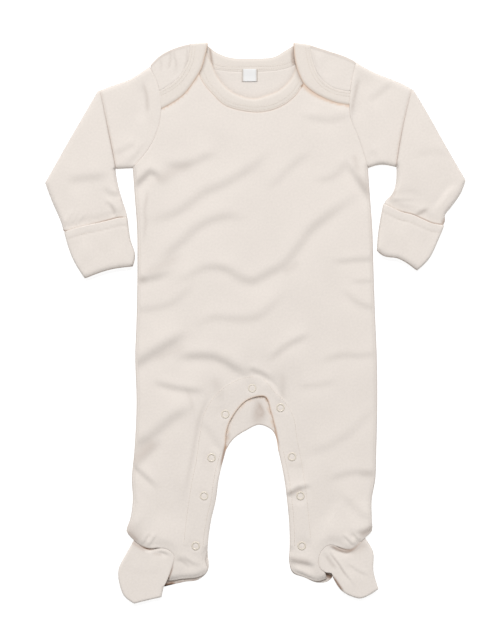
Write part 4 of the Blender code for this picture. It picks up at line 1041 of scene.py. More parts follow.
class Tree:
    """A material's node tree with one Principled shader."""

    def __init__(self, name):
        self.material = bpy.data.materials.new(name)
        self.material.use_nodes = True
        self.nodes = self.material.node_tree.nodes
        self.nodes.clear()

    def node(self, kind, settings=None, values=None):
        """Adds a node; settings come first, then the values or links of its sockets."""
        made = self.nodes.new(kind)
        for key, value in (settings or {}).items():
            setattr(made, key, value)
        for key, value in (values or {}).items():
            if isinstance(value, Socket):
                self.material.node_tree.links.new(value.socket, made.inputs[key])
            else:
                made.inputs[key].default_value = value
        return [Socket(self, output) for output in made.outputs]

    def mix(self, factor, first, second):
        """A colour between two, by a factor."""
        return self.node("ShaderNodeMix", {"data_type": "RGBA"}, {0: factor, 6: first, 7: second})[2]

    def scaled(self, colour, value):
        """A colour times a value."""
        return self.node("ShaderNodeVectorMath", {"operation": "SCALE"}, {0: colour, 3: value})[0]

    def attribute(self, name):
        """What a mesh stores for each point, as a vector and as a number."""
        return self.node("ShaderNodeAttribute", {"attribute_name": name})[1:3]

    def noise(self, places, scale, detail=2.0):
        values = {"Vector": places, "Scale": scale, "Detail": detail}
        return self.node("ShaderNodeTexNoise", values=values)[0]

    def bump(self, height, strength, depth):
        """A normal from a height; the depth is in metres."""
        values = {"Strength": strength, "Distance": depth, "Height": height}
        return self.node("ShaderNodeBump", values=values)[0]

    def finish(self, values):
        """Adds the shader with these values and the output."""
        shader = self.node("ShaderNodeBsdfPrincipled", values=values)[0]
        self.node("ShaderNodeOutputMaterial", values={0: shader})
        return self.material


def knit_material(name, colour, bump):
    """Interlock knit: fine columns of loops, faint unevenness of colour, painted warm shade in its creases
    and seams, and painted warm light where light comes only from the cloth around.
    """
    cloth = bpy.context.scene.sleepsuit_cloth
    tree = Tree(name)
    places, _ = tree.attribute("knit")
    across, along, _ = tree.node("ShaderNodeSeparateXYZ", values={0: places})
    column = (across / cloth.column).fraction() - 0.5
    loops = (along / cloth.loop + abs(column) * 1.1).wave()
    stitches = (1 - abs(column) * 1.5) * (loops * 0.6 + 0.4)
    spots, grain = tree.noise(places, 34.0, 3.0), tree.noise(places, 420.0)
    # painted shade: the cloth's colour turns towards the crease colour and darkens where it lies in shade
    _, shade = tree.attribute("painted_shade")
    plain = tree.scaled(tuple(colour)[:3], spots * 0.05 + grain * 0.11 + stitches * 0.03 + 0.905)
    warm = tree.mix(shade * shade, plain, tuple(cloth.deep))
    tone = tree.scaled(warm, (1 - shade * 0.45) * (1 - shade**8 * 0.88))
    # painted light: a warm colour mixed in where light would reach the cloth only from the layers around it
    _, bounced = tree.attribute("warm")
    return tree.finish(
        {
            "Base Color": tree.mix(bounced, tone, tuple(cloth.bounced)),
            "Roughness": 0.93,
            "Specular IOR Level": 0.25,
            "Sheen Weight": 0.12,
            "Sheen Roughness": 0.5,
            "Normal": tree.bump(stitches + grain * 0.5, bump, 0.00012),
        }
    )


def thread_material():
    """Sewing thread with a slight twist to its surface."""
    colour = tuple(bpy.context.scene.sleepsuit_sewing.colour)
    tree = Tree("sewing_thread")
    waves = {"Vector": tree.node("ShaderNodeTexCoord")[3], "Scale": 1400.0}
    ply = tree.node("ShaderNodeTexWave", {"bands_direction": "DIAGONAL"}, waves)[1]
    return tree.finish(
        {
            "Base Color": tree.scaled(colour[:3], ply * 0.06 + 0.95),
            "Roughness": 0.7,
            "Sheen Weight": 0.1,
            "Normal": tree.bump(ply, 0.4, 0.00005),
        }
    )


def snap_material():
    """Painted brass rings, with a fine orange-peel to the paint."""
    colour = tuple(bpy.context.scene.sleepsuit_trims.ring_colour)
    tree = Tree("painted_ring")
    peel = tree.noise(tree.node("ShaderNodeTexCoord")[3], 900.0)
    return tree.finish(
        {
            "Base Color": tree.scaled(colour[:3], peel * 0.08 + 0.94),
            "Roughness": peel * 0.12 + 0.3,
            "Coat Weight": 0.3,
            "Normal": tree.bump(peel, 0.15, 0.00005),
        }
    )


def label_material():
    """Woven satin tape: fine threads across and a soft gloss."""
    colour = tuple(bpy.context.scene.sleepsuit_trims.label_colour)
    tree = Tree("woven_label")
    places, _ = tree.attribute("knit")
    across, along, _ = tree.node("ShaderNodeSeparateXYZ", values={0: places})
    weave = (along / WEFT).wave() * 0.7 + (across / WARP).wave() * 0.3
    # painted shade: the label's colour turns towards its colour in shade at its sides
    _, shade = tree.attribute("painted_shade")
    return tree.finish(
        {
            "Base Color": tree.mix(shade, tree.scaled(colour[:3], weave * 0.04 + 0.965), LABEL_SHADE),
            "Roughness": 0.55,
            "Sheen Weight": 0.15,
            "Normal": tree.bump(weave, 0.35, 0.00008),
        }
    )


def suit_knit():
    """The suit's own knit, made once."""
    made = bpy.data.materials.get("cream_knit")
    return made or knit_material("cream_knit", bpy.context.scene.sleepsuit_cloth.colour, 0.5)


def band_knit():
    """The neck bands' knit, made once."""
    made = bpy.data.materials.get("band_knit")
    return made or knit_material("band_knit", bpy.context.scene.sleepsuit_cloth.band_colour, 0.6)


def place(obj, nodes, material_slot):
    """Has a piece ride on the frame in place of its plain solids."""
    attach(obj, "root")
    if nodes:
        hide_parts(*nodes)


# -------- back with its shoulder flaps
def nearest(plan, point):
    return int(np.argmin(np.linalg.norm(plan - point, axis=1)))


def bridge(first, second):
    return [(first[i], first[i + 1], second[i + 1], second[i]) for i in range(len(first) - 1)]


def raised(plan, height):
    """Points of a plan at one height, or each at its own."""
    return np.column_stack([plan, np.broadcast_to(np.asarray(height, float), len(plan))])


def across_at(curve, y):
    """The point of a curve that runs downwards at height y."""
    return np.array([np.interp(-y, -curve[:, 1], curve[:, 0]), y])


def below_point(curve, start):
    """A curve that runs downwards, from a point of it on."""
    return np.vstack([[start], curve[curve[:, 1] < start[1] - 0.5]])


def turned(row, centre):
    """Rows that carry a row of the top layer over a fold, down to the layer below."""
    rows = []
    radius = (row[:, 2].mean() - BACK_MID) / 2
    for k in range(1, TURN_STEPS):
        angle = math.pi / 2 - math.pi * k / TURN_STEPS
        moved = row.copy()
        moved[:, 1] = row[:, 1] + TURN_RADIUS * sharp(math.cos(angle))
        moved[:, 2] = centre + radius * sharp(math.sin(angle))
        rows.append(moved)
    return rows


def shoulder_fold(side, armhole):
    """Where the layers below and above start to bend over the shoulder, left or right."""
    line = edge(SHOULDERS_AT[side], STEP_TUBE) - (0, TURN_RADIUS)
    line[0] = across_at(armhole, line[0][1])
    return line


def flap_height(points):
    return FLAP_MID + folded(points, FLAP_FOLDS) + crumple(points, "flap")


def mound(points, form):
    """A share that is 1 on top of a mound and dies away round it."""
    return bell((points[:, 0] - form.x) / form.across) * bell((points[:, 1] - form.y) / form.along)


def back_height(points):
    """The back lies flat, but for soft waves where it shows through the neck and the crotch."""
    crotch = mound(points, CROTCH_MOUND) * (0.8 - 1.4 * bell((points[:, 0] - 3) / 5))
    neck = mound(points, NECK_MOUND) * np.maximum(crumple(points, "back"), 0)
    at_band = NECK_RISE * fade(away(points, edge(BACK_NECK_SEAM)) / NECK_RISE_RUN)
    return BACK_MID + at_band + np.maximum(crotch, 0) + neck


def crotch_shade(points):
    """Shade along the front's crotch arch: deep at its right corner and where it runs out on the left."""
    far, along, _ = distance(points, CROTCH)
    depth = 0.8 * bell((along - 0.59) / 0.05) + 0.28 * ease((along - 0.6) / 0.12) + 0.35 * bell(along / 0.13)
    return depth * bell(far / GROOVE)


def back_painted_shade(points):
    """Shade on the inside of the back: below the front's crotch arch and by the neck bands."""
    x, y = points[:, 0], points[:, 1]
    wedge = 4.5 + 4.5 * np.clip((-84 - y) / 24, 0, 1)
    return deepest(
        crotch_shade(points),
        0.40 * bell((x - 3) / wedge) ** 1.3 * bell((y + 98) / 14),
        shaded(points, BACK_SHADES),
        groove(points, edge(BACK_CROTCH, 2.0), 0.45, 1.0),
        groove(points, NECK_SEAM, 0.14, 3),
        groove(points, edge(FRONT_NECK_EDGE), 0.14, 3),
        groove(points, edge(BACK_NECK_SEAM), 0.02, GROOVE),
    )


def back_loop(folds, armholes):
    """The outline of the back's lower layer, from the shoulders down both legs."""
    neck = edge(tucked_twice(BACK_NECK_SEAM), STEP_BAND)
    neck[0], neck[-1] = folds["left"][-1], folds["right"][-1]
    left, right = FEET["left"].sole_seam, FEET["right"].sole_seam
    return joined(
        folds["left"],
        neck,
        folds["right"][::-1],
        below_point(armholes["right"], folds["right"][0]),
        smooth(SIDE_SEAMS_AT["right"] + right[-1:], STEP_BACK),
        smooth(right[::-1], STEP_BACK),
        smooth(right[:1] + HEMS_AT["right"][::-1], STEP_BACK),
        smooth(BACK_CROTCH[::-1], STEP_TUBE),
        smooth(HEMS_AT["left"] + left[:1], STEP_BACK),
        smooth(left, STEP_BACK),
        smooth(left[-1:] + SIDE_SEAMS_AT["left"][::-1], STEP_BACK),
        below_point(armholes["left"], folds["left"][0])[::-1],
    )


def make_back(finish):
    armholes = {side: edge(ARMHOLES_AT[side], STEP_TUBE) for side in SIDES}
    folds = {side: shoulder_fold(side, armholes[side]) for side in SIDES}
    gap = WALL / 2 - SEAM_LAP
    back, faces, _ = fill(shrunk(back_loop(folds, armholes), gap), STEP_BACK, rows=ROWS_EDGE[1:2])
    points, tints = [raised(back, back_height(back))], [back_painted_shade(back)]
    count = len(back)
    for side in SIDES:
        fold = folds[side]
        seam = edge(tucked(FLAP_SEAMS_AT[side]), STEP_BAND)
        seam[0] = fold[-1]
        arm = below_point(armholes[side], fold[0])
        arm = arm[: nearest(arm, seam[-1]) + 1]
        flap, flap_faces, _ = fill(shrunk(joined(fold, seam, arm[::-1]), gap), STEP_TUBE, rows=ROWS_EDGE)
        seam_line, arm_line = edge(FLAP_SEAMS_AT[side]), ARMHOLES[side]
        points.append(raised(flap, flap_height(flap) - seam_dip(flap, seam_line, arm_line, depth=0.2)))
        # painted shade along the flap's seams and fold and in its strokes
        tints.append(
            deepest(
                groove(flap, seam_line, 0.03, GROOVE),
                groove(flap, arm_line, 0.06, GROOVE),
                groove(flap, fold, 0.25, 1.2),
                shaded(flap, FLAP_SHADES),
            )
        )
        faces += [tuple(i + count for i in reversed(face)) for face in flap_faces]
        top = [nearest(flap, spot) for spot in fold]
        rows = turned(points[-1][top], (FLAP_MID + BACK_MID) / 2)
        places = [[count + i for i in top]]
        count += len(flap)
        for row in rows:
            places.append(list(range(count, count + len(row))))
            count += len(row)
        places.append([nearest(back, spot) for spot in fold])
        points += rows
        tints += [np.full(len(row), TURN_PAINTED_SHADE) for row in rows]
        for upper, lower in zip(places, places[1:]):
            faces += bridge(lower, upper) if side == "left" else bridge(upper, lower)
    points = np.vstack(points)
    # painted light: warm bounced light on the back under the front's crotch arch
    warm = groove(points[:, :2], CROTCH, 0.45, 1.3)
    obj = shell("back_cloth", points, faces, WALL, finish, np.concatenate(tints), points[:, :2], warm)
    place(obj, ["back_panel"], "knit")


# -------- front
def under_flap_shade(points):
    """Warm shade on the front beneath the shoulder flaps' edges, wider on the right."""
    tints = []
    for side in SIDES:
        shadow = FLAP_SHADOWS[side]
        far, along, left_of = distance(points, FLAP_EDGES[side])
        ahead = -far * left_of * AWAY[side]
        reach = shadow.width * (0.25 + 0.75 * bell((along - 0.5) / 0.25))
        tints.append(shadow.depth * fade((ahead - shadow.lead) / reach))
    return deepest(*tints)


def arch_shade(points, side, reach):
    """Shade in the seam over the arch: open and deep at its lower end on the left, shut on the right."""
    far, along, _ = distance(points, ARCHES[side])
    return (0.06 + ARCH_SHADES[side] * ease((along - 0.5) / 0.3)) * bell(far / reach)


def front_painted_shade(points):
    """How deep in shade the front's cloth lies: seams, edges and the creases round the feet."""
    tints = [0.45 * under_flap_shade(points), groove(points, NECK_SEAM, 0.11, 0.8)]
    for side in SIDES:
        tints.append(groove(points, ARMHOLES[side], 0.07, GROOVE))
        tints.append(groove(points, SIDE_SEAMS[side], 0.36, 1.2))
        tints.append(groove(points, HEMS[side], 0.32, 1.1))
        tints.append(groove(points, HEELS[side], 0.30, 1.0))
        far, along, _ = distance(points, LIPS[side])
        tints.append(0.7 * lip_shade(side, along) * bell(far / 1.3))
        tints.append(arch_shade(points, side, 1.3))
    # painted shade along the line where the side seams' allowance shows through
    tints.append(0.12 * bell((from_sides(points) - SIDE_SEAM_IN) / 0.7))
    return deepest(crotch_shade(points), shaded(points, FRONT_SHADES), *tints)


def front_warmth(points):
    """How warm the light is on the front: under the flaps' edges, along its neck and on its arch."""
    seams = groove(points, NECK_SEAM, 0.16, GROOVE), groove(points, CROTCH, 0.45, 1.1)
    return deepest(under_flap_shade(points), *seams)


def front_loop():
    """The outline of the front, its shoulders tucked under the flaps."""
    neck = edge(FRONT_NECK_SEAM, STEP_FRONT)
    tops, armholes = {}, {}
    for side, corner in (("left", 0), ("right", -1)):
        armhole = edge(ARMHOLES_AT[side], STEP_FRONT)
        top = edge(SHOULDERS_AT[side], STEP_FRONT) - (0, SHOULDER_TUCK)
        top[0] = across_at(armhole, top[0][1])
        armholes[side] = below_point(armhole, top[0])
        top[-1] = (neck[corner][0], top[-1][1])
        neck[corner] = top[-1]
        tops[side] = top
    left, right = FEET["left"], FEET["right"]
    down = SIDE_SEAMS_AT["right"], right.lip, right.arch, right.heel
    inner = HEMS_AT["right"][::-1], FRONT_CROTCH[::-1], HEMS_AT["left"]
    up = left.heel[::-1], left.arch[::-1], left.lip[::-1], SIDE_SEAMS_AT["left"][::-1]
    legs = [smooth(run, STEP_FRONT) for run in down + inner + up]
    return joined(tops["left"], neck, tops["right"][::-1], armholes["right"], *legs, armholes["left"][::-1])


def make_front(finish):
    loop = shrunk(front_loop(), WALL / 2 - SEAM_LAP)
    fine = fine_points(loop, FINE_AREAS, STEP_FINE)
    plan, faces, _ = fill(loop, STEP_FRONT, rows=ROWS_SEAM, marks=fine)
    height = front_surface(plan) - seam_dip(plan, NECK_SEAM, *ARMHOLES.values(), depth=0.25)
    height -= seam_dip(plan, *ARCHES.values(), depth=0.15)
    height -= seam_dip(plan, CROTCH, depth=0.12, reach=1.2)
    cloth = raised(plan, height)
    obj = shell("front_cloth", cloth, faces, WALL, finish, front_painted_shade(plan), plan, front_warmth(plan))
    place(obj, ["front_panel"], "knit")


# -------- neck bands
def rungs(first, second, count, height, form, trim=0.0):
    """Rows of points across the strip between two curves, `count` of them, clear of the first curve."""
    rows = []
    for a, b in zip(evenly(first, count, trim), evenly(second, count, trim)):
        width = np.linalg.norm(b - a)
        share = np.linspace((WALL / 2 - SEAM_LAP) / width, 1 - DOUBLE / 2 / width, BAND_ACROSS)[:, None]
        plan = blend(a, b, share)
        rows.append(np.column_stack([plan, height(plan) + band_profile(share[:, 0] * width, width, form)]))
    return rows


def band_profile(across, width, form):
    """A doubled band's face: soft, drawn in by its two rows of stitches, lower at its seam and brim."""
    round_face = BAND_ROUND * (1 - (2 * across / width - 1) ** 2)
    drawn_in = BAND_DRAWN_IN * sum(bell((across - row) / 0.8) for row in BAND_ROWS)
    at_seam = form.seam_down * fade(across / SEAM_RAMP) + 0.06 * bell(across / 0.9)
    return round_face - drawn_in - at_seam - form.brim_down * fade((width - across) / BRIM_RAMP)


def wall_from_seam(across, form):
    return blend(form.seam_wall, form.wall, ease(across / SEAM_RAMP))


def seam_and_brim(row):
    """How far each point of a band's row is from its seam and from its brim."""
    across = np.linalg.norm(row[:, :2] - row[0, :2], axis=1)
    return across, across[-1] - across


def band_wall(rows, form):
    """A doubled band's thickness, which thins at its seam and still more at its brim."""
    walls = []
    for seam, brim in map(seam_and_brim, rows):
        walls.append(blend(wall_from_seam(seam, form), BRIM_WALL, fade(brim / BRIM_RAMP)))
    return np.concatenate(walls)


def band_painted_light(rows, at_seam, at_brim):
    """Painted shade along a band's sewn edge and its brim, row by row; the bands' painted warm light takes
    the same form.
    """
    places = map(seam_and_brim, rows)
    return np.concatenate([at_seam * bell(seam / GROOVE) + at_brim * bell(brim) for seam, brim in places])


def band_knit_places(rows):
    """Places on a band's flat strip: along it and across it."""
    places = []
    for row, along in zip(rows, lengths_of(np.array([row[0] for row in rows]))):
        places.append(np.column_stack([np.full(len(row), along), np.linalg.norm(row - row[0], axis=1)]))
    return np.vstack(places)


def band_count(curve):
    """How many rows of points a band along a curve has."""
    return int(lengths_of(smooth(curve, STEP_LENGTH))[-1] / STEP_BAND)


def make_front_band(finish):
    count = band_count(FRONT_NECK_SEAM)
    rows = rungs(FRONT_NECK_SEAM, FRONT_NECK_EDGE, count, front_band_height, FRONT_BAND_FORM)
    points = np.vstack(rows)
    # painted shade on the band where it runs in under the flaps
    under = (0.4 * ease(past_flap(points[:, :2], side) / UNDER_FLAP_RUN + 1) for side in SIDES)
    painted_shade = deepest(band_painted_light(rows, 0.10, 0.12), shaded(points[:, :2], BAND_SHADES), *under)
    # painted light: warm bounced light along the band's seam and brim
    wall, warm = band_wall(rows, FRONT_BAND_FORM), band_painted_light(rows, 0.14, 0.14)
    knit = band_knit_places(rows)
    obj = shell("front_band", points, grid_faces(rows), wall, finish, painted_shade, knit, warm)
    place(obj, ["front_neck_band"], "band")


def make_back_band(finish):
    """The back band, which runs on over both shoulders along the flaps."""
    centre = (FLAP_BAND_MID + BAND_LOW_MID) / 2
    top, low = flat(FLAP_BAND_MID), flat(BAND_LOW_MID)
    sides = []
    for side in SIDES:
        seam, brim = tucked(FLAP_SEAMS_AT[side]), tucked(FLAP_EDGES_AT[side])
        sides.append(rungs(seam, brim, band_count(seam), top, FLAP_BAND_FORM, 0.3))
    left, right = sides
    seam, brim = tucked_twice(BACK_NECK_SEAM), tucked_twice(BACK_NECK_EDGE)
    back = rungs(seam, brim, band_count(BACK_NECK_SEAM), low, BACK_BAND_FORM)
    rows = left[::-1] + band_turn(left[0], back[0], centre) + back
    rows += band_turn(right[0], back[-1], centre)[::-1] + right
    points = np.vstack(rows)
    on_back = points[:, 2] < centre
    back_shade = deepest(band_painted_light(rows, 0.0, 0.10), shaded(points[:, :2], BACK_BAND_SHADES))
    painted_shade = np.where(on_back, back_shade, band_painted_light(rows, 0.05, 0.18))
    wall = np.where(on_back, band_wall(rows, BACK_BAND_FORM), band_wall(rows, FLAP_BAND_FORM))
    # painted light: warm bounced light along the flaps' brims
    warm = np.where(on_back, 0.0, band_painted_light(rows, 0.0, 0.42))
    knit = band_knit_places(rows)
    obj = shell("back_band", points, grid_faces(rows), wall, finish, painted_shade, knit, warm)
    place(obj, ["back_neck_band"], "band")


def band_turn(top, bottom, centre):
    """Rows of the band over a shoulder fold, from its top row to its bottom row."""
    rows = []
    for k in range(1, TURN_STEPS):
        share = k / TURN_STEPS
        angle = math.pi / 2 - math.pi * share
        row = top * (1 - share) + bottom * share
        row[:, 1] += TURN_RADIUS * sharp(math.cos(angle))
        reach = top[:, 2] - centre if angle > 0 else centre - bottom[:, 2]
        row[:, 2] = centre + reach * sharp(math.sin(angle))
        rows.append(row)
    return rows


# -------- sleeves and cuffs
def run_of(step, *runs):
    """One run of points through smooth stretches that meet at corners."""
    parts = [smooth(run, step) for run in runs]
    return np.vstack([part[:-1] for part in parts[:-1]] + [parts[-1]])


def near_runs(loop, reach, *runs):
    """Places of the loop's points that come from these runs, from before it was shrunk."""
    gaps = np.linalg.norm(loop[:, None] - np.vstack(runs)[None], axis=2)
    return np.flatnonzero(gaps.min(axis=1) < reach)


class SleeveForm:
    """Heights, painted shade and outline of one sleeve."""

    def __init__(self, side):
        self.side = side
        self.edges = SLEEVES[side]
        self.outer = run_of(STEP_TUBE, self.edges.outer, self.edges.elbow, self.edges.lower)
        self.inner = run_of(STEP_TUBE, self.edges.under, self.edges.inner)
        self.outer_line, self.inner_line = self.outer[::2], self.inner[::2]
        self.crease, self.cuff_top = edge(self.edges.crease), edge(CUFFS[side].top)

    def from_rims(self, points):
        return np.minimum(away(points, self.outer_line), away(points, self.inner_line))

    def past_cuff(self, points):
        """How far each point is up the sleeve from the cuff, and how far along the cuff's edge."""
        far, along, above = distance(points, self.cuff_top)
        return far * above, along

    def in_cuff(self, points):
        """1 inside the cuff and 0 up the sleeve."""
        return fade((self.past_cuff(points)[0] - CUFF_AHEAD) / CUFF_RAMP)

    def rim_height(self, points):
        return blend(TUBE_EDGE_MID, SLEEVE_IN_CUFF_EDGE, self.in_cuff(points))

    def low(self, points):
        height = blend(BACK_MID, SLEEVE_IN_CUFF_LOW, self.in_cuff(points))
        return blend(height, self.rim_height(points), fade(self.from_rims(points) / TUBE_ROLL))

    def past_crease(self, points):
        """How far each point is below the crease, and how far along it."""
        far, along, left_of = distance(points, self.crease)
        return far * left_of * AWAY[self.side], along

    def high(self, points):
        past, along = self.past_crease(points)
        rise = CREASE_RISE * (CREASE_AT_TOP + (1 - CREASE_AT_TOP) * ease(along))
        rise *= ease((past + CREASE_RUN / 2) / CREASE_RUN)
        rise *= 1 - CREASE_FADE * ease(past / CREASE_FADE_RUN)
        from_armhole = away(points, ARMHOLES[self.side])
        at_armhole = blend(FRONT_MID, FLAP_MID, ease((points[:, 1] - FLAP_LEVEL) / FLAP_LEVEL_RUN))
        base = blend(at_armhole, SLEEVE_MID, ease(from_armhole / ARMHOLE_RUN))
        height = base + rise + crumple(points, "sleeve")
        height = blend(height, SLEEVE_IN_CUFF_HIGH, self.in_cuff(points))
        height += folded(points, SLEEVE_FOLDS[self.side]) * ease(self.past_cuff(points)[0] / FOLD_CLEAR_CUFF)
        height -= seam_dip(points, ARMHOLES[self.side])
        return blend(self.rim_height(points), height, rolled(self.from_rims(points), 0, 1, SIDE_ROLL))

    def lean(self, points):
        """The fold's edge leans a little over the cloth beside it."""
        past, _ = self.past_crease(points)
        normal = left_normals(self.crease[-1:] - self.crease[:1])[0] * AWAY[self.side]
        amount = CREASE_LEAN * bell((past - LEAN_MID) / LEAN_REACH)
        amount *= ease(self.from_rims(points) / LEAN_CLEAR)
        return -normal * amount[:, None]

    # painted shade: at the crease, along the outer side, in the slit above the cuff and near it, at the seams
    # and in the sleeve's strokes
    def painted_shade(self, points):
        past, along = self.past_crease(points)
        crease = np.where(past < 0, bell(past / (2.8 * (1 - 0.45 * along))), bell(past / 0.8))
        crease = 0.5 * crease * (0.55 + 0.45 * bell((along - 0.75) / 0.45))
        far, along, _ = distance(points, self.outer_line)
        lit = LIT_BELOW_ELBOW[self.side] * ease((along - 0.70) / 0.08) * ease((0.95 - along) / 0.04)
        past, along = self.past_cuff(points)
        slit = SLITS[self.side]
        whole = ease((along - slit.start) / slit.rise) * ease((slit.end - along) / 0.06)
        return deepest(
            crease,
            (1 - lit) * np.maximum(0.34 * bell(far / 1.1), 0.14 * bell((far - 2.9) / 0.9)),
            slit.depth * whole * bell((past - SLIT_MID) / SLIT_REACH),
            0.19 * fade((past - 0.6) / 2.0),
            groove(points, ARMHOLES[self.side], 0.07, GROOVE),
            groove(points, self.inner_line, 0.08, 1.1),
            shaded(points, SLEEVE_SHADES[self.side]),
        )

    def knit(self, points):
        """The knit's columns run down the arm, turned at the crease."""
        past, _ = self.past_crease(points)
        start = self.edges.crease[0]
        above, below = (turned_knit(points, start, (AWAY[self.side] * x, y)) for x, y in ARM_RUNS)
        return np.where((past > 0)[:, None], below, above)

    def cuff_rows(self):
        """Rows of points just above the cuff, clear of the sleeve's folded sides."""
        line = smooth(CUFFS[self.side].top, 1.4)
        rows = [line + normals_of(line) * far for far in (-0.6, 0.2, 0.8, 1.5, 2.4)]
        return [row[self.from_rims(row) > FINE_CLEAR / 2] for row in rows]

    def crease_rows(self):
        line = smooth(self.edges.crease, STEP_TUBE)
        normal = normals_of(line) * AWAY[self.side]
        return [(line + normal * far)[1:-1] for far in (-1.6, -0.9, -0.4, 0.0, 0.4, 0.9, 1.6)]


def make_sleeve(side, finish):
    """A flattened tube, folded at the elbow so that its lower part lies on the upper one."""
    form = SleeveForm(side)
    wrist, armhole = smooth(form.edges.end, STEP_TUBE), edge(ARMHOLES_AT[side], STEP_TUBE)
    loop = shrunk(joined(form.outer, wrist, form.inner[::-1], armhole[::-1]), WALL / 2 - SEAM_LAP)
    shared = near_runs(loop, 2 * WALL, form.outer, form.inner)
    heights, looks = (form.low, form.high), (form.painted_shade, form.knit)
    marks = form.crease_rows() + form.cuff_rows()
    obj = tube("sleeve_cloth_" + side, loop, shared, *heights, finish, WALL, *looks, marks, form.lean)
    place(obj, ["sleeve_" + side], "knit")


def cuff_hem(side):
    """The line that a cuff's hem is sewn along, below its upper edge."""
    top = smooth(CUFFS[side].top, 2.0)
    return top - normals_of(top) * CUFF_HEM


def make_cuff(side, finish):
    """A doubled flattened tube round the end of the sleeve, with a hem along its upper edge."""
    edges = CUFFS[side]
    top, right, end, left = (smooth(run, STEP_TUBE) for run in edges)
    loop = shrunk(joined(top, right, end, left), DOUBLE / 2)
    middle = (CUFF_LOW_MID + CUFF_TOP_MID) / 2
    hem = cuff_hem(side)
    top_line, right_line, end_line, left_line = (run[::2] for run in (top, right, end, left))

    def spread(points):
        """0 at the folded sides and 1 away from them."""
        return rolled(np.minimum(away(points, left_line), away(points, right_line)), 0, 1, CUFF_ROLL)

    def low(points):
        return blend(middle, CUFF_LOW_MID, spread(points))

    def high(points):
        height = CUFF_TOP_MID - groove(points, hem, 0.35, 1.3) + crumple(points, "cuff")
        height -= CUFF_END_DOWN * fade(away(points, end_line) / CUFF_END_RUN)
        return blend(middle, height, spread(points))

    # painted shade along the hem, the open end, the folded sides and the top edge
    def painted_shade(points):
        lines = ((hem, 0.17, 1.1), (end_line, 0.6, 1.5), (left_line, 0.3, 1.0), (right_line, 0.3, 1.0))
        return deepest(groove(points, top_line, 0.2, 0.7), *(groove(points, *line) for line in lines))

    def knit(points):
        return turned_knit(points, edges.top[0], np.subtract(edges.end[0], edges.top[-1]))

    shared = near_runs(loop, DOUBLE + 0.2, left[1:-1], right[1:-1])
    obj = tube("cuff_cloth_" + side, loop, shared, low, high, finish, DOUBLE, painted_shade, knit)
    place(obj, ["cuff_" + side], "knit")


# -------- feet
def lip_shade(side, along):
    """How dark it is under a lip, along it from its outer end."""
    form = LIP_SHADES[side]
    peak = (form.deepest - form.start) * bell((along - form.middle) / form.width)
    return blend(form.start, form.end, along) + peak


def make_foot(side, finish):
    """The upper that the toes fill, and the sole that runs on round the heel."""
    edges = FEET[side]
    toe, toe_line = run_of(STEP_FOOT, *edges.toe), run_of(4.0, *edges.toe)
    above = [spot for spot in edges.arch[::-1] if spot[1] > (edges.opening or edges.arch)[-1][1] + 1]
    arch = smooth([tuple(toe[-1])] + list(edges.opening) + above, STEP_FOOT)
    hidden = [(x, y + LIP_LAP) for x, y in edges.lip[-2:0:-1]]
    lip = smooth([tuple(arch[-1])] + hidden + [tuple(toe[0])], STEP_FOOT)

    def puffed(points):
        from_lip = away(points, LIPS[side])
        top = FOOT_MID - FOOT_LOW + FOOT_SLOPE * from_lip
        height = rolled(away(points, toe_line), EDGE_MID, top, FOOT_ROLL)
        inward = ease(away(points, ARCHES[side]) / FOOT_CLEAR)
        height += (folded(points, FOOT_FOLDS[side]) + crumple(points, "foot")) * (0.3 + 0.7 * inward)
        height = blend(height, LIP_FORMS[side].under, fade((from_lip - UNDER_LIP_CLEAR) / UNDER_LIP_RAMP))
        return np.maximum(height - seam_dip(points, ARCHES[side], depth=0.15), EDGE_MID)

    # painted shade under the lip, along the toe's rim, in the seam over the arch and in the foot's strokes
    def painted_shade(points):
        far, along, _ = distance(points, LIPS[side])
        lip = lip_shade(side, along) * fade((far - 0.7) / 2.2)
        far, along, _ = distance(points, toe_line)
        rim = (0.04 + 0.25 * bell((along - 0.3) / 0.16)) * bell(far)
        return deepest(lip, rim, arch_shade(points, side, 1.2), shaded(points, FOOT_SHADES[side]))

    plan, faces, _ = fill(shrunk(joined(toe, arch, lip), WALL / 2), STEP_FOOT, rows=ROWS_EDGE)
    upper = shell("foot_cloth_" + side, raised(plan, puffed(plan)), faces, WALL, finish, painted_shade(plan), plan)
    place(upper, ["foot_upper_" + side], "knit")

    outline = joined(toe, smooth(edges.sole_heel, STEP_FOOT), smooth(edges.sole_seam, STEP_FOOT))
    plan, faces, _ = fill(shrunk(outline, WALL / 2), STEP_TUBE)
    far, along, _ = distance(plan, HEELS[side])
    # painted shade on the sole along the heel
    heel = (0.5 - 0.34 * ease((along - 0.3) / 0.4)) * bell(far / 2.2)
    shade = deepest(heel, shaded(plan, SOLE_SHADES[side]))
    sole = shell("sole_cloth_" + side, raised(plan, BACK_MID), faces, WALL, finish, shade, plan)
    place(sole, ["foot_sole_" + side], "knit")


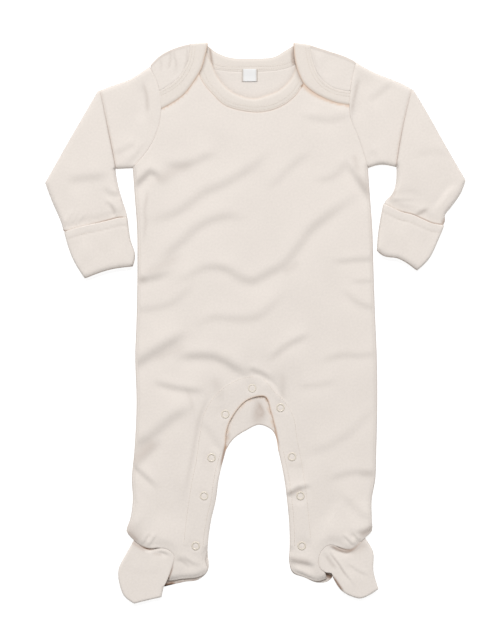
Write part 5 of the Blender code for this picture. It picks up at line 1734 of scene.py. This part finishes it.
# -------- trims
def make_snap(snap, finish):
    """A ring snap's ring with a rounded face, tilted with the cloth that it sits on."""
    trims = bpy.context.scene.sleepsuit_trims
    outer, inner, thick = (value / MM for value in (trims.ring_outer, trims.ring_inner, trims.ring_thick))
    mean, half = (outer + inner) / 4, (outer - inner) / 4
    points, faces = [], []
    for i in range(SNAP_SIDES):
        turn = 2 * math.pi * i / SNAP_SIDES
        start, after = (n % SNAP_SIDES * SNAP_PROFILE_SIDES for n in (i, i + 1))
        for j in range(SNAP_PROFILE_SIDES):
            angle = 2 * math.pi * j / SNAP_PROFILE_SIDES
            out = mean + half * math.cos(angle)
            points.append((out * math.cos(turn), out * math.sin(turn), thick / 2 * math.sin(angle)))
            step = (j + 1) % SNAP_PROFILE_SIDES
            faces.append((start + j, after + j, after + step, start + step))
    spots = np.array([[snap.x, snap.y], [snap.x + 1, snap.y], [snap.x, snap.y + 1]], float)
    here, across, along = front_surface(spots)
    up = Vector((here - across, here - along, 1.0)).normalized()
    rise = WALL / 2 - SNAP_DENT + thick / 2 + 0.1 - snap.sunk
    turn = Vector((0, 0, 1)).rotation_difference(up)
    centre = Vector((snap.x, snap.y, here)) + up * rise
    placed = [tuple(centre + turn @ Vector(point)) for point in points]
    obj = add_object(snap.name.replace("snap_", "ring_"), placed, faces, finish)
    place(obj, [snap.name], "snap")


def make_label(finish):
    """A bare label that hangs inside the back neck, from the band down on to the back."""
    across = np.linspace(LABEL_LEFT, LABEL_RIGHT, 24)
    base = BAND_LOW_MID + PRESSED / 2 + 0.2 + LABEL_WALL / 2
    rows = []
    for share in np.linspace(0, 1, 20):
        y = LABEL_TOP + (LABEL_BOTTOM - LABEL_TOP) * share
        lift = 0.15 * np.sin(np.linspace(0, math.pi, len(across))) * share - LABEL_DROP * ease(share * 1.4)
        rows.append(np.column_stack([across, np.full(len(across), y), base + lift]))
    points = np.vstack(rows)
    from_side = np.minimum(points[:, 0] - LABEL_LEFT, LABEL_RIGHT - points[:, 0])
    # painted shade along the label's sides
    painted_shade = 0.75 * bell(from_side / 1.3)
    obj = shell("bare_label", points, grid_faces(rows), LABEL_WALL, finish, painted_shade, points[:, :2])
    place(obj, ["neck_label"], "label")


# -------- stitches
def stitches_along(path, height, sewing):
    """Points and faces of one row of stitches, each a short thread that sinks in at both ends."""
    pitch, thick = sewing.pitch / MM, sewing.thickness / MM
    length = lengths_of(path)[-1]
    count = int(length / pitch)
    starts = np.arange(count) * pitch
    lengths = np.concatenate([starts + pitch * STITCH_SHARE * share for share, _, _ in STITCH_PROFILE])
    spots = at_lengths(path, lengths)
    ahead = unit(at_lengths(path, np.minimum(lengths + 0.3, length)) - spots, 1e-9)
    heights = height(spots)
    points, faces = [], []
    for i in range(count):
        base = len(points)
        for k, (_, width, lift) in enumerate(STITCH_PROFILE):
            row = k * count + i
            (x, y), (along_x, along_y) = spots[row], ahead[row]
            for j in range(STITCH_SIDES):
                angle = 2 * math.pi * j / STITCH_SIDES
                out, up = thick / 2 * width * math.cos(angle), thick / 2 * width * math.sin(angle)
                points.append((x - along_y * out, y + along_x * out, heights[row] + lift * thick + up))
        starts_at = range(base, len(points), STITCH_SIDES)
        rings = [list(range(start, start + STITCH_SIDES)) for start in starts_at]
        for ring, following in zip(rings, rings[1:]):
            faces += bridge(ring + ring[:1], following + following[:1])
        faces += [tuple(reversed(rings[0])), tuple(rings[-1])]
    return points, faces


def sew(name, rows, finish, material_slot):
    """One piece of several rows of stitches; each row is a path and a height."""
    points, faces = [], []
    for path, height in rows:
        base = len(points)
        more, fresh = stitches_along(path, height, bpy.context.scene.sleepsuit_sewing)
        points += more
        faces += [tuple(i + base for i in face) for face in fresh]
    place(add_object(name, points, faces, finish), [], material_slot)


def band_rows(first, second, height, form):
    """The rows of stitches along a band."""
    count = band_count(first)
    starts, ends = evenly(first, count), evenly(second, count)
    width = np.linalg.norm(ends - starts, axis=1)
    rows = []
    for offset in BAND_ROWS:
        path = starts + (ends - starts) * (offset / width)[:, None]

        def over(points, offset=offset, mean=width.mean()):
            across = np.full(len(points), offset)
            face = height(points) + band_profile(across, mean, form)
            return face + wall_from_seam(across, form) / 2 + BAND_THREAD_RISE

        rows.append((path, over))
    return rows


def front_top(points):
    return front_surface(points) + WALL / 2 + FRONT_THREAD_RISE


def beside(points, offset, start=0.0, end=0.0):
    """The curve through points moved sideways, to its left if positive, less a length at each end."""
    line = smooth(points, 1.5)
    moved = line + normals_of(line) * offset
    length = lengths_of(moved)[-1]
    return at_lengths(moved, np.linspace(start, length - end, max(2, int((length - start - end) / 1.5))))


# -------- stage
FLOOR_HALF = 40.0  # in metres
FLOOR_Z = -0.4
FLOOR_SPOTS = (0.33, 0.33, 0.33, 1)
KEY_AT, KEY_SIZE = (-0.3, 3.9, 4.6), (4.0, 2.8)  # in metres


def add_key_light(stage):
    """One large soft light above and beyond the neck, turned to the middle of the floor."""
    data = bpy.data.lights.new("key_light", "AREA")
    data.shape = "RECTANGLE"
    data.size, data.size_y = KEY_SIZE
    data.energy = stage.key
    obj = bpy.data.objects.new("key_light", data)
    bpy.context.scene.collection.objects.link(obj)
    obj.location = KEY_AT
    obj.rotation_mode = "QUATERNION"
    obj.rotation_quaternion = (-obj.location).to_track_quat("-Z", "Y")


def add_floor(stage):
    tree = Tree("pale_floor")
    places = tree.node("ShaderNodeTexCoord")[3]
    tone = tree.mix(tree.noise(places, 6.0), tuple(stage.floor_colour), FLOOR_SPOTS)
    glow = {"Emission Color": (1, 1, 1, 1), "Emission Strength": stage.floor_glow}
    tree.finish({"Base Color": tone, "Roughness": 0.9, **glow})
    half = FLOOR_HALF / MM
    corners = [(x, y, FLOOR_Z) for x, y in ((-half, -half), (half, -half), (half, half), (-half, half))]
    floor = add_object("floor", corners, [(0, 1, 2, 3)], tree.material)


def add_camera(stage):
    data = bpy.data.cameras.new("camera")
    data.type = "PERSP"
    data.lens = stage.lens
    data.sensor_width = 36.0
    data.clip_start, data.clip_end = 0.05, 20.0
    obj = bpy.data.objects.new("camera", data)
    bpy.context.scene.collection.objects.link(obj)
    obj.location = (stage.look_at[0], stage.look_at[1], stage.distance)
    obj.rotation_euler = (0, 0, 0)
    bpy.context.scene.camera = obj


# -------- settings
COLOUR = {"subtype": "COLOR", "size": 4, "min": 0, "max": 1}


class SleepsuitCloth(PropertyGroup):
    """The knit's colours and scale."""

    colour: FloatVectorProperty(
        name="Cream", description="Colour of the knit", default=(0.80, 0.735, 0.680, 1), **COLOUR
    )
    band_colour: FloatVectorProperty(
        name="Bands", description="Colour of the neck bands", default=(0.78, 0.714, 0.654, 1), **COLOUR
    )
    # painted shade: the colour that the knit is drawn towards where it lies deep in shade, in a seam or
    # crease
    deep: FloatVectorProperty(
        name="Crease", description="Colour deep in a seam or crease", default=(0.47, 0.20, 0.07, 1), **COLOUR
    )
    # painted light: the warm colour put where light would reach the cloth only from the layers around it
    bounced: FloatVectorProperty(
        name="Between layers",
        description="Colour where light comes from the cloth around",
        default=(0.74, 0.45, 0.26, 1),
        **COLOUR,
    )
    column: FloatProperty(
        name="Column", description="Width of a knit column", unit="LENGTH", default=0.0009, min=0.0003
    )
    loop: FloatProperty(
        name="Loop", description="Height of a knit loop", unit="LENGTH", default=0.0008, min=0.0003
    )


class SleepsuitSewing(PropertyGroup):
    """Thread and stitch sizes."""

    pitch: FloatProperty(
        name="Pitch", description="From one stitch to the next", unit="LENGTH", default=0.0026, min=0.001
    )
    thickness: FloatProperty(
        name="Thread", description="Thickness of the thread", unit="LENGTH", default=0.00042, min=0.0001
    )
    colour: FloatVectorProperty(
        name="Thread colour", description="Colour of the thread", default=(0.75, 0.675, 0.60, 1), **COLOUR
    )


class SleepsuitTrims(PropertyGroup):
    """Snaps and label."""

    ring_outer: FloatProperty(
        name="Ring, outside", description="A snap's outer diameter", unit="LENGTH", default=0.0092, min=0.004
    )
    ring_inner: FloatProperty(
        name="Ring, inside", description="A snap's inner diameter", unit="LENGTH", default=0.0062, min=0.002
    )
    ring_thick: FloatProperty(
        name="Ring thickness", description="Height of a ring", unit="LENGTH", default=0.0008, min=0.0002
    )
    ring_colour: FloatVectorProperty(
        name="Ring colour", description="Colour of the snaps", default=(0.76, 0.69, 0.59, 1), **COLOUR
    )
    label_colour: FloatVectorProperty(
        name="Label", description="Colour of the label", default=(0.835, 0.829, 0.824, 1), **COLOUR
    )


class SleepsuitStage(PropertyGroup):
    """Camera, lights and floor."""

    look_at: FloatVectorProperty(
        name="Looks at", description="Middle of the view", subtype="TRANSLATION", default=(-0.0054, 0.0011, 0)
    )
    distance: FloatProperty(
        name="Distance", description="Height of the camera", unit="LENGTH", default=1.644, min=0.2
    )
    lens: FloatProperty(
        name="Lens", description="Focal length in millimetres", unit="CAMERA", default=85.0, min=10
    )
    key: FloatProperty(
        name="Key light", description="Power of the large soft light", unit="POWER", default=328.0, min=0
    )
    fill: FloatProperty(name="Fill", description="Strength of the light from all round", default=0.38, min=0)
    floor_colour: FloatVectorProperty(
        name="Floor", description="Colour of the floor", default=(0.35, 0.35, 0.35, 1), **COLOUR
    )
    floor_glow: FloatProperty(
        name="Floor glow", description="Light of its own that keeps the floor white", default=0.83, min=0
    )


# -------- operators
class SLEEPSUIT_OT_back(Operator):
    """Makes the back with its legs and both shoulder flaps"""

    bl_idname = "sleepsuit.back"
    bl_label = "Back and flaps"

    def execute(self, context):
        make_back(suit_knit())
        return {"FINISHED"}


class SLEEPSUIT_OT_front(Operator):
    """Makes the front with its legs"""

    bl_idname = "sleepsuit.front"
    bl_label = "Front"

    def execute(self, context):
        make_front(suit_knit())
        return {"FINISHED"}


class SLEEPSUIT_OT_bands(Operator):
    """Makes the front and back neck bands"""

    bl_idname = "sleepsuit.bands"
    bl_label = "Neck bands"

    def execute(self, context):
        make_front_band(band_knit())
        make_back_band(band_knit())
        return {"FINISHED"}


class SLEEPSUIT_OT_sleeves(Operator):
    """Makes both sleeves and their cuffs"""

    bl_idname = "sleepsuit.sleeves"
    bl_label = "Sleeves and cuffs"

    def execute(self, context):
        for side in SIDES:
            make_sleeve(side, suit_knit())
            make_cuff(side, suit_knit())
        return {"FINISHED"}


class SLEEPSUIT_OT_feet(Operator):
    """Makes both feet"""

    bl_idname = "sleepsuit.feet"
    bl_label = "Feet"

    def execute(self, context):
        for side in SIDES:
            make_foot(side, suit_knit())
        return {"FINISHED"}


class SLEEPSUIT_OT_trims(Operator):
    """Makes the ring snaps and the label"""

    bl_idname = "sleepsuit.trims"
    bl_label = "Snaps and label"

    def execute(self, context):
        finish = snap_material()
        for snap in SNAPS:
            make_snap(snap, finish)
        make_label(label_material())
        return {"FINISHED"}


class SLEEPSUIT_OT_stitches(Operator):
    """Sews the bands, plackets and cuff hems with rows of stitches"""

    bl_idname = "sleepsuit.stitches"
    bl_label = "Stitches"

    def execute(self, context):
        thread = thread_material()
        rows = band_rows(FRONT_NECK_SEAM, FRONT_NECK_EDGE, front_band_height, FRONT_BAND_FORM)
        sew("front_band_stitches", rows, thread, "band")
        seam, brim = tucked_twice(BACK_NECK_SEAM), tucked_twice(BACK_NECK_EDGE)
        rows = band_rows(seam, brim, flat(BAND_LOW_MID), BACK_BAND_FORM)
        for side in SIDES:
            seam, brim = tucked(FLAP_SEAMS_AT[side]), tucked(FLAP_EDGES_AT[side])
            rows += band_rows(seam, brim, flat(FLAP_BAND_MID), FLAP_BAND_FORM)
        sew("back_band_stitches", rows, thread, "band")
        rows = []
        for side in SIDES:
            rows.append((beside(PLACKETS[side], 0.0, 6.0, 2.0), front_top))
            rows.append((beside(HEMS_AT[side], AWAY[side] * PLACKET_ROW, 2.0, 2.0), front_top))
        sew("placket_stitches", rows, thread, "knit")
        for side in SIDES:
            top = CUFF_TOP_MID + DOUBLE / 2 - 0.5
            hem = at_lengths(cuff_hem(side), np.linspace(4, lengths_of(cuff_hem(side))[-1] - 4, 60))
            sew("cuff_stitches_" + side, [(hem, flat(top))], thread, "knit")
        return {"FINISHED"}


class SLEEPSUIT_OT_stage(Operator):
    """Sets up the pale floor, the soft light and the camera"""

    bl_idname = "sleepsuit.stage"
    bl_label = "Stage"

    def execute(self, context):
        stage = context.scene.sleepsuit_stage
        add_floor(stage)
        add_key_light(stage)
        world = context.scene.world or bpy.data.worlds.new("studio")
        context.scene.world = world
        world.use_nodes = True
        nodes = world.node_tree.nodes
        backdrop = nodes.get("Background") or nodes.new("ShaderNodeBackground")
        backdrop.inputs["Color"].default_value = (1, 1, 1, 1)
        backdrop.inputs["Strength"].default_value = stage.fill
        context.scene.view_settings.view_transform = "Standard"
        add_camera(stage)
        return {"FINISHED"}


class SLEEPSUIT_PT_panel(Panel):
    """The sleepsuit's settings and steps"""

    bl_idname = "SLEEPSUIT_PT_panel"
    bl_label = "Sleepsuit"
    bl_space_type = "VIEW_3D"
    bl_region_type = "UI"
    bl_category = "Sleepsuit"

    def draw(self, context):
        layout = self.layout
        for name in SETTINGS:
            settings = getattr(context.scene, name)
            box = layout.box()
            for key in settings.__annotations__:
                box.prop(settings, key)
        for step in STEPS:
            layout.operator(step.bl_idname)


SETTINGS = {
    "sleepsuit_cloth": SleepsuitCloth,
    "sleepsuit_sewing": SleepsuitSewing,
    "sleepsuit_trims": SleepsuitTrims,
    "sleepsuit_stage": SleepsuitStage,
}
STEPS = (
    SLEEPSUIT_OT_stage,
    SLEEPSUIT_OT_back,
    SLEEPSUIT_OT_front,
    SLEEPSUIT_OT_bands,
    SLEEPSUIT_OT_sleeves,
    SLEEPSUIT_OT_feet,
    SLEEPSUIT_OT_trims,
    SLEEPSUIT_OT_stitches,
)


def register():
    for settings in SETTINGS.values():
        bpy.utils.register_class(settings)
    for step in STEPS:
        bpy.utils.register_class(step)
    bpy.utils.register_class(SLEEPSUIT_PT_panel)
    for name, settings in SETTINGS.items():
        setattr(bpy.types.Scene, name, PointerProperty(type=settings))


def unregister():
    for name in SETTINGS:
        delattr(bpy.types.Scene, name)
    bpy.utils.unregister_class(SLEEPSUIT_PT_panel)
    for step in reversed(STEPS):
        bpy.utils.unregister_class(step)
    for settings in reversed(list(SETTINGS.values())):
        bpy.utils.unregister_class(settings)


def main():
    register()
    for step in STEPS:
        group, name = step.bl_idname.split(".")
        getattr(getattr(bpy.ops, group), name)()


if __name__ == "__main__":
    main()
